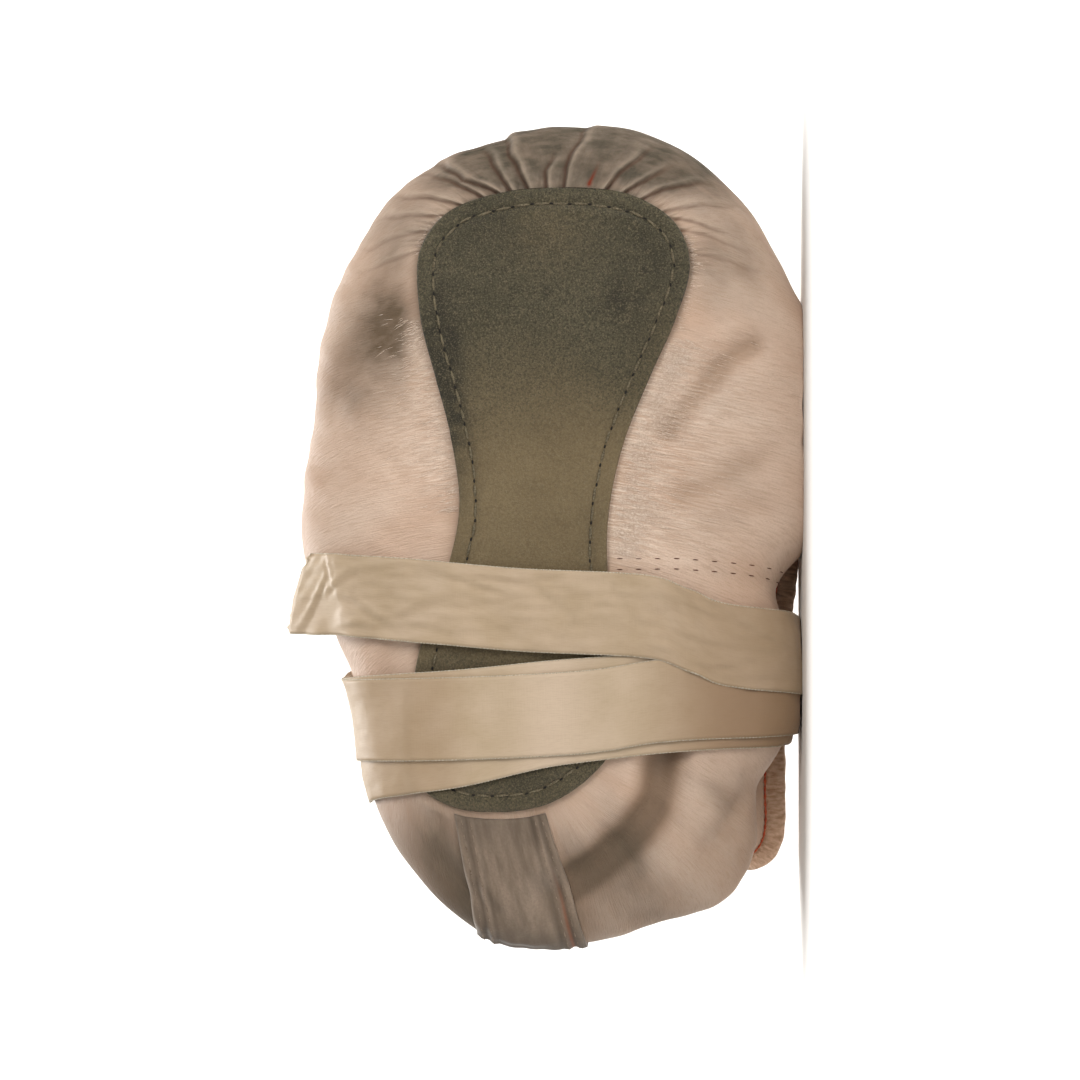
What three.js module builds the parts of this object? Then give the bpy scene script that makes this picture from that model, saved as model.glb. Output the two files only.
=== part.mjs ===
// Child's ballet slipper in pale satin, slack and pressed flat, with its ribbon wound round the quarters.
// Millimetres. The shoe lies on its side: X runs from heel to toe, Y from the sole's outer face back to
// the foot opening, and Z is the height above the floor.
import * as THREE from 'three';

// Driving dimensions
const wall = 1.5; // satin, cotton lining and the paste between them
const gap = 0.3; // left between pieces that touch
const soleThick = 1.6; // split suede
const soleNearX = 38.1; // the sole's edge at the heel
const soleFarX = 206.6; // and at the toe
const insoleThick = 1.5;
const insoleInset = 2; // the insole's edge inside the sole's
const lastingMargin = 7; // satin turned in under the sole
const toeSpring = 4; // how far the sole's tip lifts towards the foot
const springStart = 160; // X where the lift begins
const bindingWidth = 6.4; // the casing along the topline
const bindingThick = 2.6;
const tapeThick = 0.8; // tape over the heel seam
const tapeFoot = 0.03; // share of the way from the sole's edge to the widest line left bare
const tapeHead = 0.07; // share of the way from there to the rim left bare
const ribbonWidth = 22;
const ribbonThick = 0.4;
const ribbonPitch = 0.6; // one turn of ribbon to the next
const ribbonClear = 0.7; // the innermost turn to the shoe
const ribbonFree = 20; // ribbon past its last touch on the shoe
const ribbonTilt = 35; // degrees by which that end leans back from straight up
const ribbonSlant = 9; // how far out of square it is cut
const floorZ = 0;

// Steps of the faceted skin
const stepsPerRib = 3;
const marginSteps = 1;
const underSteps = 5;
const sideSteps = 6;
const plateStations = 40;
const plateTip = 0.03; // radians left off at each end of the sole, where it ends in a short flat edge
const wrapSteps = 56; // round one turn of ribbon
const ribbonColumns = 2;
const curveSamples = 20; // for each row of the ribbon's table
const outlineSamples = 600;
const cloudSamples = { round: 480, girth: 24 };

// A table's rows as objects with the columns' names
function table(columns, rows) {
  return rows.map((row) => Object.fromEntries(columns.map((name, i) => [name, row[i]])));
}

// One row for each rib of the upper, round the shoe from the middle of the heel.
// sole: where the rib leaves the sole's edge. edge: where the upper is widest. rim: the topline.
// rise: how far straight back the side goes before it turns in, as a share of the way to the rim.
// lean: how the wall ends, in degrees from straight back; 90 is level and inwards, below 0 it flares out.
// drop: how square the skin's corner is between the sole's face and the side; past 1 it bulges.
const ribs = table(
  ['name', 'soleX', 'soleZ', 'edgeX', 'edgeY', 'edgeZ', 'rise', 'rimX', 'rimY', 'rimZ', 'lean', 'drop'],
  [
    ['heelMiddle', 38.1, 80.5, 0.0, 14, 73.5, 0.62, 8.5, 30, 74.0, 55, 0.5],
    ['tapeLeft', 39.4, 94.0, 4.0, 14, 88.0, 0.62, 11.5, 30, 86.5, 55, 0.5],
    ['heelLeft', 45.0, 102.8, 22.4, 15, 108.1, 0.62, 28.0, 31, 100.5, 50, 0.5],
    ['quarterLeftA', 57.5, 105.9, 42.0, 15, 117.7, 0.62, 45.0, 31, 108.5, 45, 0.5],
    ['quarterLeftB', 72.8, 104.8, 68.5, 15, 121.7, 0.62, 66.0, 31, 113.5, 45, 0.5],
    ['quarterLeftC', 87.6, 101.5, 88.8, 15, 129.2, 0.62, 82.0, 31, 120.0, 45, 0.5],
    ['waistLeftA', 105.5, 95.0, 106.9, 16, 136.8, 0.62, 97.0, 31, 126.0, 45, 0.5],
    ['waistLeftB', 120.3, 92.3, 126.5, 16, 137.1, 0.65, 110.0, 31, 124.5, 50, 0.5],
    ['ballLeftA', 139.6, 94.7, 144.6, 15, 134.0, 0.7, 121.0, 30, 117.5, 62, 0.5],
    ['ballLeftB', 155.3, 98.8, 161.2, 14, 132.5, 0.8, 130.0, 29.5, 109.0, 75, 0.5],
    ['ballLeftC', 172.2, 103.0, 176.9, 13, 128.3, 0.88, 136.5, 29, 100.5, 84, 0.5],
    ['ballLeftD', 190.0, 103.0, 190.5, 12, 122.0, 0.92, 141.0, 28.5, 92.0, 87, 0.5],
    ['toeLeftA', 199.8, 95.9, 208.0, 11.5, 108.1, 0.92, 144.0, 28.5, 83.5, 88, 0.5],
    ['toeLeftB', 205.2, 81.6, 219.1, 11, 86.4, 0.92, 146.0, 28.5, 74.5, 88, 0.5],
    ['toeMiddle', 206.6, 64.7, 223.7, 11, 60.7, 0.92, 146.6, 28.5, 65.5, 88, 0.5],
    ['toeRightB', 204.3, 46.0, 218.8, 11, 36.6, 0.92, 146.0, 28.5, 56.5, 88, 0.5],
    ['toeRightA', 196.3, 34.1, 204.0, 11.5, 17.5, 0.92, 144.0, 28.5, 47.0, 88, 0.5],
    ['ballRightD', 185.6, 30.3, 187.5, 12, 6.7, 0.92, 140.5, 28.5, 37.5, 87, 0.8],
    ['ballRightC', 170.7, 34.1, 171.5, 12.5, -2.0, 0.88, 136.0, 29, 28.0, 80, 1.3],
    ['ballRightB', 154.4, 41.3, 155.6, 13, -12.0, 0.8, 131.0, 30, 18.0, 65, 1.6],
    ['ballRightA', 136.3, 48.4, 138.8, 13, -14.0, 0.7, 124.5, 31, 9.0, 30, 1.6],
    ['waistRightB', 117.3, 52.2, 118.9, 13, -12.0, 0.62, 114.0, 31, 4.6, -40, 1.5],
    ['waistRightA', 99.5, 52.2, 99.3, 14, 6.6, 0.62, 98.5, 31, 6.4, -72, 1.0],
    ['quarterRightC', 81.7, 50.2, 81.2, 12, 2.9, 0.62, 81.0, 31, 9.2, -76, 1.0],
    ['quarterRightB', 63.9, 49.6, 61.6, 12, 3.0, 0.62, 61.6, 31, 9.8, -76, 1.0],
    ['quarterRightA', 53.3, 52.3, 43.5, 18, 11.5, 0.62, 43.0, 31, 9.6, -76, 0.7],
    ['heelCorner', 47.8, 57.0, 26.5, 17, 12.5, 0.62, 25.5, 30.5, 11.0, -66, 0.5],
    ['heelRightA', 43.6, 62.3, 13.8, 15, 20.0, 0.62, 17.5, 30, 23.0, 10, 0.5],
    ['heelRightB', 41.4, 66.2, 6.3, 14, 40.0, 0.62, 13.0, 30, 41.5, 50, 0.5],
    ['tapeRight', 39.9, 69.7, 1.6, 14, 58.5, 0.62, 10.0, 30, 60.5, 55, 0.5],
  ],
);

// How the ribbon runs, from its free cut end inwards. turn: whole turns, from the side that is up, over
// the sole, under the side on the floor and across the foot opening. x: the middle of the ribbon.
const ribbonPath = table(
  ['turn', 'x'],
  [
    [0.1, 96.5],
    [0.16, 95.0],
    [0.22, 92.6],
    [0.29, 91.2],
    [0.325, 87.0],
    [0.36, 82.5],
    [0.5, 79.0],
    [0.75, 70.0],
    [1.0, 62.0],
    [1.14, 62.8],
    [1.25, 65.0],
    [1.33, 69.0],
    [1.5, 70.0],
    [1.75, 66.0],
    [2.0, 62.0],
    [2.14, 64.0],
    [2.25, 68.4],
    [2.36, 71.0],
    [2.5, 71.5],
    [2.75, 61.0],
    [3.0, 50.0],
    [3.14, 53.5],
    [3.25, 62.5],
    [3.36, 66.5],
    [3.5, 67.0],
    [3.62, 67.5],
  ],
);
const wrapCentre = { y: 17, z: 62 };
const wrapHalf = { y: 17, z: 60 };
const wrapNormals = 72; // directions in which the shoe's reach is measured
const wrapStations = { from: 38, to: 114, step: 4, reach: 2.5 };

// A closed smooth curve through three columns of the ribs
function ribLoop(x, y, z) {
  const points = ribs.map((rib) => new THREE.Vector3(rib[x] ?? 0, rib[y] ?? 0, rib[z] ?? 0));
  return new THREE.CatmullRomCurve3(points, true, 'centripetal');
}

const soleEdge = ribLoop('soleX', 'none', 'soleZ');
const widest = ribLoop('edgeX', 'edgeY', 'edgeZ');
const rim = ribLoop('rimX', 'rimY', 'rimZ');
const turns = ribLoop('lean', 'rise', 'drop');

const wrapped = (u) => u - Math.floor(u);

// Unit vector square to a closed curve in the plane of the sole, pointing into it. The curve's
// direction is taken over a share of its length, which is wide where a tight corner is to be eased.
const curveStep = 0.002;
const easedStep = 0.02;
function inwards(curve, u, step) {
  const ahead = curve.getPoint(wrapped(u + step));
  const behind = curve.getPoint(wrapped(u - step));
  return new THREE.Vector3(ahead.z - behind.z, 0, behind.x - ahead.x).normalize();
}

// The sole's lift towards the foot near its tip
function spring(x) {
  const share = Math.max(0, (x - springStart) / (soleFarX - springStart));
  return toeSpring * share ** 2;
}

// Height of the skin's outer face over the sole's outer face, where the upper goes under the sole
const upperDepth = (x) => soleThick + gap + spring(x);

function cubic(a, b, c, d, t) {
  const s = 1 - t;
  return new THREE.Vector3()
    .addScaledVector(a, s ** 3)
    .addScaledVector(b, 3 * s * s * t)
    .addScaledVector(c, 3 * s * t * t)
    .addScaledVector(d, t ** 3);
}

// The direction in which the wall ends at the rim
function rimDirection(u) {
  const lean = THREE.MathUtils.degToRad(turns.getPoint(wrapped(u)).x);
  return inwards(rim, u, curveStep).multiplyScalar(Math.sin(lean)).setY(Math.cos(lean));
}

// The upper's outer face before it is laid down. u goes round the shoe; v goes from the turned-in
// margin (0) by the sole's edge (1) and the widest line (2) to the rim (3).
const underReach = 0.6; // how flat the skin leaves the sole's edge
const sideReach = 0.42;
function slackSkin(u, v) {
  const start = soleEdge.getPoint(u);
  start.y = upperDepth(start.x);
  if (v <= 1) {
    const margin = inwards(soleEdge, u, easedStep).multiplyScalar((1 - v) * lastingMargin);
    const point = start.clone().add(margin);
    return point.setY(upperDepth(point.x));
  }
  const wide = widest.getPoint(u);
  if (v <= 2) {
    const flat = start.clone().lerp(wide, underReach).setY(start.y);
    const drop = wide.clone().setY(THREE.MathUtils.lerp(wide.y, start.y, turns.getPoint(u).z));
    return cubic(start, flat, drop, wide, v - 1);
  }
  const end = rim.getPoint(u);
  const rise = wide.clone().setY(THREE.MathUtils.lerp(wide.y, end.y, turns.getPoint(u).y));
  const turn = end.clone().addScaledVector(rimDirection(u), -sideReach * end.distanceTo(wide));
  return cubic(wide, rise, turn, end, v - 2);
}

// The floor presses the slack side flat
function pressed(point, height = floorZ) {
  return point.setZ(Math.max(point.z, height));
}

const skin = (u, v) => pressed(slackSkin(wrapped(u), v));

const girthStep = 0.01;
function skinNormal(u, v) {
  const low = Math.max(0, v - girthStep);
  const high = Math.min(3, v + girthStep);
  const round = skin(u + curveStep, v).sub(skin(u - curveStep, v));
  return round.cross(skin(u, high).sub(skin(u, low))).normalize();
}

// The skin moved square to itself; above 0 is away from the foot
function skinOffset(u, v, distance) {
  return skin(u, v).addScaledVector(skinNormal(u, v), distance);
}

// A solid from rings of points. Each ring goes out along one face and comes back along the other, so
// that its first half and its second half, read backwards, lie opposite each other.
function loft(rings, closed) {
  const count = rings[0].length;
  const half = count / 2;
  const positions = rings.flat().flatMap((point) => [point.x, point.y, point.z]);
  const index = [];
  const quad = (a, b, c, d) => index.push(a, b, c, a, c, d);
  const spans = closed ? rings.length : rings.length - 1;
  for (let i = 0; i < spans; i++) {
    const here = i * count;
    const next = ((i + 1) % rings.length) * count;
    for (let j = 0; j < count; j++) {
      const k = (j + 1) % count;
      quad(here + j, next + j, next + k, here + k);
    }
  }
  if (!closed) {
    const last = (rings.length - 1) * count;
    for (let j = 0; j < half - 1; j++) {
      const back = count - 1 - j;
      quad(j, j + 1, back - 1, back);
      quad(last + j, last + back, last + back - 1, last + j + 1);
    }
  }
  const geometry = new THREE.BufferGeometry();
  geometry.setAttribute('position', new THREE.Float32BufferAttribute(positions, 3));
  geometry.setIndex(index);
  geometry.computeVertexNormals();
  return geometry;
}

// Evenly spaced numbers, both ends included
const spread = (from, to, steps) =>
  Array.from({ length: steps + 1 }, (_, i) => THREE.MathUtils.lerp(from, to, i / steps));

function upperGeometry() {
  const girth = [
    ...spread(0, 1, marginSteps),
    ...spread(1, 2, underSteps).slice(1),
    ...spread(2, 3, sideSteps).slice(1),
  ];
  const around = spread(0, 1, ribs.length * stepsPerRib).slice(0, -1);
  const rings = around.map((u) => [
    ...girth.map((v) => skinOffset(u, v, 0)),
    ...girth.toReversed().map((v) => skinOffset(u, v, -wall)),
  ]);
  return loft(rings, true);
}

// Where a line across the shoe meets the sole's edge, moved in by inset: lowest and highest Z
const soleOutline = spread(0, 1, outlineSamples).map((u) => ({
  edge: soleEdge.getPoint(u),
  side: inwards(soleEdge, u, curveStep),
}));
function across(x, inset) {
  const outline = soleOutline.map(({ edge, side }) => edge.clone().addScaledVector(side, inset));
  const heights = [];
  for (let i = 1; i < outline.length; i++) {
    const a = outline[i - 1];
    const b = outline[i];
    if ((a.x - x) * (b.x - x) > 0 || a.x === b.x) continue;
    heights.push(THREE.MathUtils.lerp(a.z, b.z, (x - a.x) / (b.x - a.x)));
  }
  return [Math.min(...heights), Math.max(...heights)];
}

// A flat piece with the sole's outline, between two depths, lifted at the toe with the sole
function plateGeometry(inset, nearY, farY) {
  const middle = (soleNearX + soleFarX) / 2;
  const reach = (soleFarX - soleNearX) / 2 - inset;
  const rings = spread(0, 1, plateStations).map((share) => {
    const turn = THREE.MathUtils.lerp(plateTip, Math.PI - plateTip, share);
    const x = middle - reach * Math.cos(turn);
    const [low, high] = across(x, inset);
    const lift = spring(x);
    const corner = (y, z) => new THREE.Vector3(x, y + lift, z);
    return [corner(nearY, low), corner(nearY, high), corner(farY, high), corner(farY, low)];
  });
  return loft(rings, false);
}

// The casing along the topline: a flat tube with round edges, just past the rim
const casingSection = table(
  ['out', 'thick'],
  [
    [-0.5, -0.22],
    [-0.25, -0.5],
    [0.25, -0.5],
    [0.5, -0.22],
    [0.5, 0.22],
    [0.25, 0.5],
    [-0.25, 0.5],
    [-0.5, 0.22],
  ],
);
function bindingPoint(u, row) {
  const forward = rimDirection(u);
  const normal = skinNormal(u, 3);
  const centre = skinOffset(u, 3, -wall / 2).addScaledVector(forward, gap + bindingWidth / 2);
  centre.addScaledVector(forward, row.out * bindingWidth);
  return pressed(centre.addScaledVector(normal, row.thick * bindingThick));
}
function bindingGeometry() {
  const around = spread(0, 1, ribs.length * stepsPerRib).slice(0, -1);
  const rings = around.map((u) => casingSection.toReversed().map((row) => bindingPoint(u, row)));
  return loft(rings, true);
}

// Tape over the seam at the back of the heel, between the ribs named for it
function tapeGeometry() {
  const girth = spread(1 + tapeFoot, 3 - tapeHead, underSteps + sideSteps);
  const reach = 1 / ribs.length;
  const around = spread(-reach, reach, 2 * stepsPerRib);
  const rings = around.map((u) => [
    ...girth.map((v) => skinOffset(u, v, gap + tapeThick)),
    ...girth.toReversed().map((v) => skinOffset(u, v, gap)),
  ]);
  return loft(rings, false);
}

// How far the shoe reaches in each direction across its length, at one station
function reachAt(x, cloud) {
  const near = cloud.filter((point) => Math.abs(point.x - x) <= wrapStations.reach);
  return spread(0, 2 * Math.PI, wrapNormals).slice(0, -1).map((angle) => {
    const dirY = Math.cos(angle);
    const dirZ = Math.sin(angle);
    const reach = near.map((point) => (point.y - wrapCentre.y) * dirY + (point.z - wrapCentre.z) * dirZ);
    return { dirY, dirZ, reach: Math.max(...reach) };
  });
}

function shoeCloud() {
  const cloud = [];
  for (const u of spread(0, 1, cloudSamples.round)) {
    for (const v of spread(1, 3, cloudSamples.girth)) cloud.push(skin(u, v));
    for (const row of casingSection) cloud.push(bindingPoint(u, row));
    cloud.push(soleEdge.getPoint(u));
  }
  return cloud;
}

const cloud = shoeCloud();
const stationCount = Math.round((wrapStations.to - wrapStations.from) / wrapStations.step);
const stations = spread(wrapStations.from, wrapStations.to, stationCount).map((x) => reachAt(x, cloud));

// A point of the taut wrap round the shoe, lift away from it. Directions nearly square to the ray
// say nothing about its length and are passed over.
const leastFacing = 0.02;
function wrapPoint(turn, x, lift) {
  const angle = 2 * Math.PI * turn;
  const ray = new THREE.Vector2(-wrapHalf.y * Math.sin(angle), wrapHalf.z * Math.cos(angle)).normalize();
  const place = (x - wrapStations.from) / wrapStations.step;
  const first = THREE.MathUtils.clamp(Math.floor(place), 0, stationCount - 1);
  const share = THREE.MathUtils.clamp(place - first, 0, 1);
  let distance = Infinity;
  stations[first].forEach((side, i) => {
    const facing = side.dirY * ray.x + side.dirZ * ray.y;
    if (facing < leastFacing) return;
    const reach = THREE.MathUtils.lerp(side.reach, stations[first + 1][i].reach, share);
    distance = Math.min(distance, (reach + lift) / facing);
  });
  return new THREE.Vector3(x, wrapCentre.y + distance * ray.x, wrapCentre.z + distance * ray.y);
}

const ribbonCurve = new THREE.CatmullRomCurve3(
  ribbonPath.map((row) => new THREE.Vector3(row.turn, row.x / ribbonWidth, 0)),
  false,
  'centripetal',
);
const ribbonSamples = ribbonCurve.getPoints(ribbonPath.length * curveSamples);
function ribbonMiddle(turn) {
  const passed = ribbonSamples.filter((sample) => sample.x < turn).length;
  const after = THREE.MathUtils.clamp(passed, 1, ribbonSamples.length - 1);
  const a = ribbonSamples[after - 1];
  const b = ribbonSamples[after];
  return THREE.MathUtils.lerp(a.y, b.y, (turn - a.x) / (b.x - a.x)) * ribbonWidth;
}

// The ribbon: one strip wound round the quarters, each turn over the one before
function ribbonGeometry() {
  const first = ribbonPath[0].turn;
  const last = ribbonPath.at(-1).turn;
  const steps = Math.round((last - first) * wrapSteps);
  const columns = spread(-0.5, 0.5, ribbonColumns);
  const rings = spread(first, last, steps).map((turn) => {
    const x = ribbonMiddle(turn);
    const lift = ribbonClear + (last - turn) * ribbonPitch;
    const floor = floorZ + Math.floor(turn) * ribbonPitch;
    const face = (column, out, height) =>
      pressed(wrapPoint(turn, x + column * ribbonWidth, lift + out), height);
    return [
      ...columns.map((column) => face(column, ribbonThick, floor)),
      ...columns.toReversed().map((column) => face(column, 0, floor + ribbonThick)),
    ];
  });
  const tilt = THREE.MathUtils.degToRad(ribbonTilt);
  const away = new THREE.Vector3(0, Math.sin(tilt), Math.cos(tilt));
  const cut = rings[0].map((point) => {
    const share = (point.x - rings[0][0].x) / ribbonWidth;
    return point.clone().addScaledVector(away, ribbonFree - share * ribbonSlant);
  });
  return loft([cut, ...rings], false);
}

function material(color, roughness) {
  return new THREE.MeshStandardMaterial({ color, roughness, metalness: 0 });
}
const finishes = {
  suede: material('#7d7464', 0.95),
  satin: material('#e6c8b6', 0.55),
  cotton: material('#e3d3bd', 0.9),
  casing: material('#d9b59c', 0.7),
  tape: material('#a8907f', 0.75),
  ribbon: material('#cdb597', 0.5),
};

function piece(name, geometry, finish) {
  const mesh = new THREE.Mesh(geometry, finish);
  mesh.name = name;
  return mesh;
}

const insoleNear = soleThick + gap + wall + gap;
const shoe = new THREE.Group();
shoe.add(
  piece('sole', plateGeometry(0, 0, soleThick), finishes.suede),
  piece('upper', upperGeometry(), finishes.satin),
  piece('insole', plateGeometry(insoleInset, insoleNear, insoleNear + insoleThick), finishes.cotton),
  piece('topline_binding', bindingGeometry(), finishes.casing),
  piece('heel_tape', tapeGeometry(), finishes.tape),
  piece('ribbon', ribbonGeometry(), finishes.ribbon),
);

// The origin goes to the middle of the shoe's box, on the floor
const box = new THREE.Box3().setFromObject(shoe);
const middle = box.getCenter(new THREE.Vector3());
shoe.position.set(-middle.x, -middle.y, -box.min.z);

export default shoe;
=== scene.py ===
import math
import bpy
import numpy as np
from mathutils import Matrix, Vector


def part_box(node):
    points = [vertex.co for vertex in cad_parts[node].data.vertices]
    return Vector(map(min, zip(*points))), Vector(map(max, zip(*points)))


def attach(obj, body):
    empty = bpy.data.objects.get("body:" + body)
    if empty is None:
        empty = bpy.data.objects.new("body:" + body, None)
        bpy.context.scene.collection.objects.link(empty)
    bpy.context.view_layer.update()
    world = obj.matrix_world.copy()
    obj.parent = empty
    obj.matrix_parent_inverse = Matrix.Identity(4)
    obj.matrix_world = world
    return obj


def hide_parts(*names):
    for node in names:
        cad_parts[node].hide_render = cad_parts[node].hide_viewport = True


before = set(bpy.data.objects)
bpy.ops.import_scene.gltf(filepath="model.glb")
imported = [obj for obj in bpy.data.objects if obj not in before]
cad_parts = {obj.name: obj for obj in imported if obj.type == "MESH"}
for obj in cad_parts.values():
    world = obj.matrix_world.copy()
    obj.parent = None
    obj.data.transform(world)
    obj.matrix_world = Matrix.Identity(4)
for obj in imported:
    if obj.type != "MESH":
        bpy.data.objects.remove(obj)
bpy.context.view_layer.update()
bpy.ops.object.select_all(action="DESELECT")
rng = np.random.default_rng(7)

# The slipper is shaped in its own millimetres: X from heel to toe, Y from the sole's face back to the
# foot opening, Z up from the floor that it lies on. placed() brings that to the frame, in metres.
shoe = {
    "wall": 1.5, "gap": 0.3, "soleThick": 1.6, "soleNear": 38.1, "soleFar": 206.6,
    "margin": 7.0, "toeSpring": 4.0, "springStart": 160.0, "underReach": 0.6, "sideReach": 0.42,
    "ribLong": 18.0, "faceLong": 34.0, "sideLong": 26.0,
}
soleMiddle = (shoe["soleNear"] + shoe["soleFar"]) / 2
soleLow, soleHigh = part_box("sole")
offset = np.array([(soleLow.x + soleHigh.x) / 2 - soleMiddle / 1000, soleLow.y, 0.0])


def placed(points):
    return np.asarray(points, float) / 1000 + offset


# One row for each rib of the upper, round from the middle of the heel, as in the CAD part:
# sole X Z, widest X Y Z, rise, rim X Y Z, lean, drop
ribs = np.array([
    (38.1, 80.5, 0.0, 14, 73.5, 0.62, 8.5, 30, 74.0, 55, 0.5),
    (39.4, 94.0, 4.0, 14, 88.0, 0.62, 11.5, 30, 86.5, 55, 0.5),
    (45.0, 102.8, 22.4, 15, 108.1, 0.62, 28.0, 31, 100.5, 50, 0.5),
    (57.5, 105.9, 42.0, 15, 117.7, 0.62, 45.0, 31, 108.5, 45, 0.5),
    (72.8, 104.8, 68.5, 15, 121.7, 0.62, 66.0, 31, 113.5, 45, 0.5),
    (87.6, 101.5, 88.8, 15, 129.2, 0.62, 82.0, 31, 120.0, 45, 0.5),
    (105.5, 95.0, 106.9, 16, 136.8, 0.62, 97.0, 31, 126.0, 45, 0.5),
    (120.3, 92.3, 126.5, 16, 137.1, 0.65, 110.0, 31, 124.5, 50, 0.5),
    (139.6, 94.7, 144.6, 15, 134.0, 0.7, 121.0, 30, 117.5, 62, 0.5),
    (155.3, 98.8, 161.2, 14, 132.5, 0.8, 130.0, 29.5, 109.0, 75, 0.5),
    (172.2, 103.0, 176.9, 13, 128.3, 0.88, 136.5, 29, 100.5, 84, 0.5),
    (190.0, 103.0, 190.5, 12, 122.0, 0.92, 141.0, 28.5, 92.0, 87, 0.5),
    (199.8, 95.9, 208.0, 11.5, 108.1, 0.92, 144.0, 28.5, 83.5, 88, 0.5),
    (205.2, 81.6, 219.1, 11, 86.4, 0.92, 146.0, 28.5, 74.5, 88, 0.5),
    (206.6, 64.7, 223.7, 11, 60.7, 0.92, 146.6, 28.5, 65.5, 88, 0.5),
    (204.3, 46.0, 218.8, 11, 36.6, 0.92, 146.0, 28.5, 56.5, 88, 0.5),
    (196.3, 34.1, 204.0, 11.5, 17.5, 0.92, 144.0, 28.5, 47.0, 88, 0.5),
    (185.6, 30.3, 187.5, 12, 6.7, 0.92, 140.5, 28.5, 37.5, 87, 0.8),
    (170.7, 34.1, 171.5, 12.5, -2.0, 0.88, 136.0, 29, 28.0, 80, 1.3),
    (154.4, 41.3, 155.6, 13, -12.0, 0.8, 131.0, 30, 18.0, 65, 1.6),
    (136.3, 48.4, 138.8, 13, -14.0, 0.7, 124.5, 31, 9.0, 30, 1.6),
    (117.3, 52.2, 118.9, 13, -12.0, 0.62, 114.0, 31, 4.6, -40, 1.5),
    (99.5, 52.2, 99.3, 14, 6.6, 0.62, 98.5, 31, 6.4, -72, 1.0),
    (81.7, 50.2, 81.2, 12, 2.9, 0.62, 81.0, 31, 9.2, -76, 1.0),
    (63.9, 49.6, 61.6, 12, 3.0, 0.62, 61.6, 31, 9.8, -76, 1.0),
    (53.3, 52.3, 43.5, 18, 11.5, 0.62, 43.0, 31, 9.6, -76, 0.7),
    (47.8, 57.0, 26.5, 17, 12.5, 0.62, 25.5, 30.5, 11.0, -66, 0.5),
    (43.6, 62.3, 13.8, 15, 20.0, 0.62, 17.5, 30, 23.0, 10, 0.5),
    (41.4, 66.2, 6.3, 14, 40.0, 0.62, 13.0, 30, 41.5, 50, 0.5),
    (39.9, 69.7, 1.6, 14, 58.5, 0.62, 10.0, 30, 60.5, 55, 0.5),
])
ribCount = len(ribs)
edgeLoop = np.insert(ribs[:, :2], 1, 0.0, axis=1)
wideLoop = ribs[:, 2:5]
rimLoop = ribs[:, 6:9]
turnLoop = ribs[:, [9, 5, 10]]


# Smooth span between the middle two of four points, at the shares t of its way
def span(p, t):
    d = [np.maximum(np.linalg.norm(p[k + 1] - p[k], axis=-1, keepdims=True), 1e-6) ** 0.5 for k in range(3)]
    m1 = ((p[1] - p[0]) / d[0] - (p[2] - p[0]) / (d[0] + d[1]) + (p[2] - p[1]) / d[1]) * d[1]
    m2 = ((p[2] - p[1]) / d[1] - (p[3] - p[1]) / (d[1] + d[2]) + (p[3] - p[2]) / d[2]) * d[1]
    return p[1] + t * (m1 + t * (3 * (p[2] - p[1]) - 2 * m1 - m2 + t * (2 * (p[1] - p[2]) + m1 + m2)))


# A closed smooth curve through the rows of a table, at the shares u of the way round
def closedCurve(points, u):
    count = len(points)
    place = (np.asarray(u, float) % 1.0) * count
    first = np.floor(place).astype(int)
    return span([points[(first + k - 1) % count] for k in range(4)], (place - first)[..., None])


# Open smooth curve through points, as many samples for each span
def openCurve(points, samples):
    ends = np.concatenate([[2 * points[0] - points[1]], points, [2 * points[-1] - points[-2]]])
    t = np.linspace(0, 1, samples, endpoint=False)[:, None]
    return np.concatenate([*[span(ends[i:i + 4], t) for i in range(len(points) - 1)], points[-1:]])


def unit(vectors):
    return vectors / np.maximum(np.linalg.norm(vectors, axis=-1, keepdims=True), 1e-9)


# Soft step from 0 to 1
def ease(x, low, high):
    t = np.clip((x - low) / (high - low), 0, 1)
    return t * t * (3 - 2 * t)


# 1 at no distance, falling off smoothly on both sides
def bell(distance, wide):
    return np.exp(-((distance / wide) ** 2))


# Smooth repeatable noise from a few sines, about -1 to 1
def ripple(x, y, seed, size):
    r = np.random.default_rng(seed)
    total = 0
    for _ in range(7):
        angle = r.uniform(0, 2 * math.pi)
        wave = 2 * math.pi / (size * r.uniform(0.6, 1.7))
        total = total + np.sin(wave * (x * math.cos(angle) + y * math.sin(angle)) + r.uniform(0, 6.28))
    return total / 3.2


# Length of a line of points up to each of them
def runLength(points):
    return np.concatenate([[0], np.cumsum(np.linalg.norm(np.diff(points, axis=0), axis=1))])


def sampled(at, run, values):
    return np.stack([np.interp(at, run, column) for column in values.T], -1)


# Points along a line at an even pitch, and how far along it they are
def evenly(points, pitch, start=0.0):
    run = runLength(points)
    at = np.arange(start, run[-1] - 1e-6, pitch)
    return sampled(at, run, points), at


# Square to a closed curve in the plane of the sole, pointing into it
def inwards(points, u, step=0.002):
    d = closedCurve(points, u + step) - closedCurve(points, u - step)
    return unit(np.stack([d[..., 2], np.zeros_like(d[..., 0]), -d[..., 0]], -1))


def spring(x):
    share = np.maximum(0, (x - shoe["springStart"]) / (shoe["soleFar"] - shoe["springStart"]))
    return shoe["toeSpring"] * share**2


def upperDepth(x):
    return shoe["soleThick"] + shoe["gap"] + spring(x)


def cubic(a, b, c, d, t):
    s = 1 - t
    return a * s**3 + b * 3 * s * s * t + c * 3 * s * t * t + d * t**3


def rimDirection(u):
    lean = np.radians(closedCurve(turnLoop, u)[..., :1])
    return inwards(rimLoop, u) * np.sin(lean) + np.array([0, 1.0, 0]) * np.cos(lean)


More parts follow.
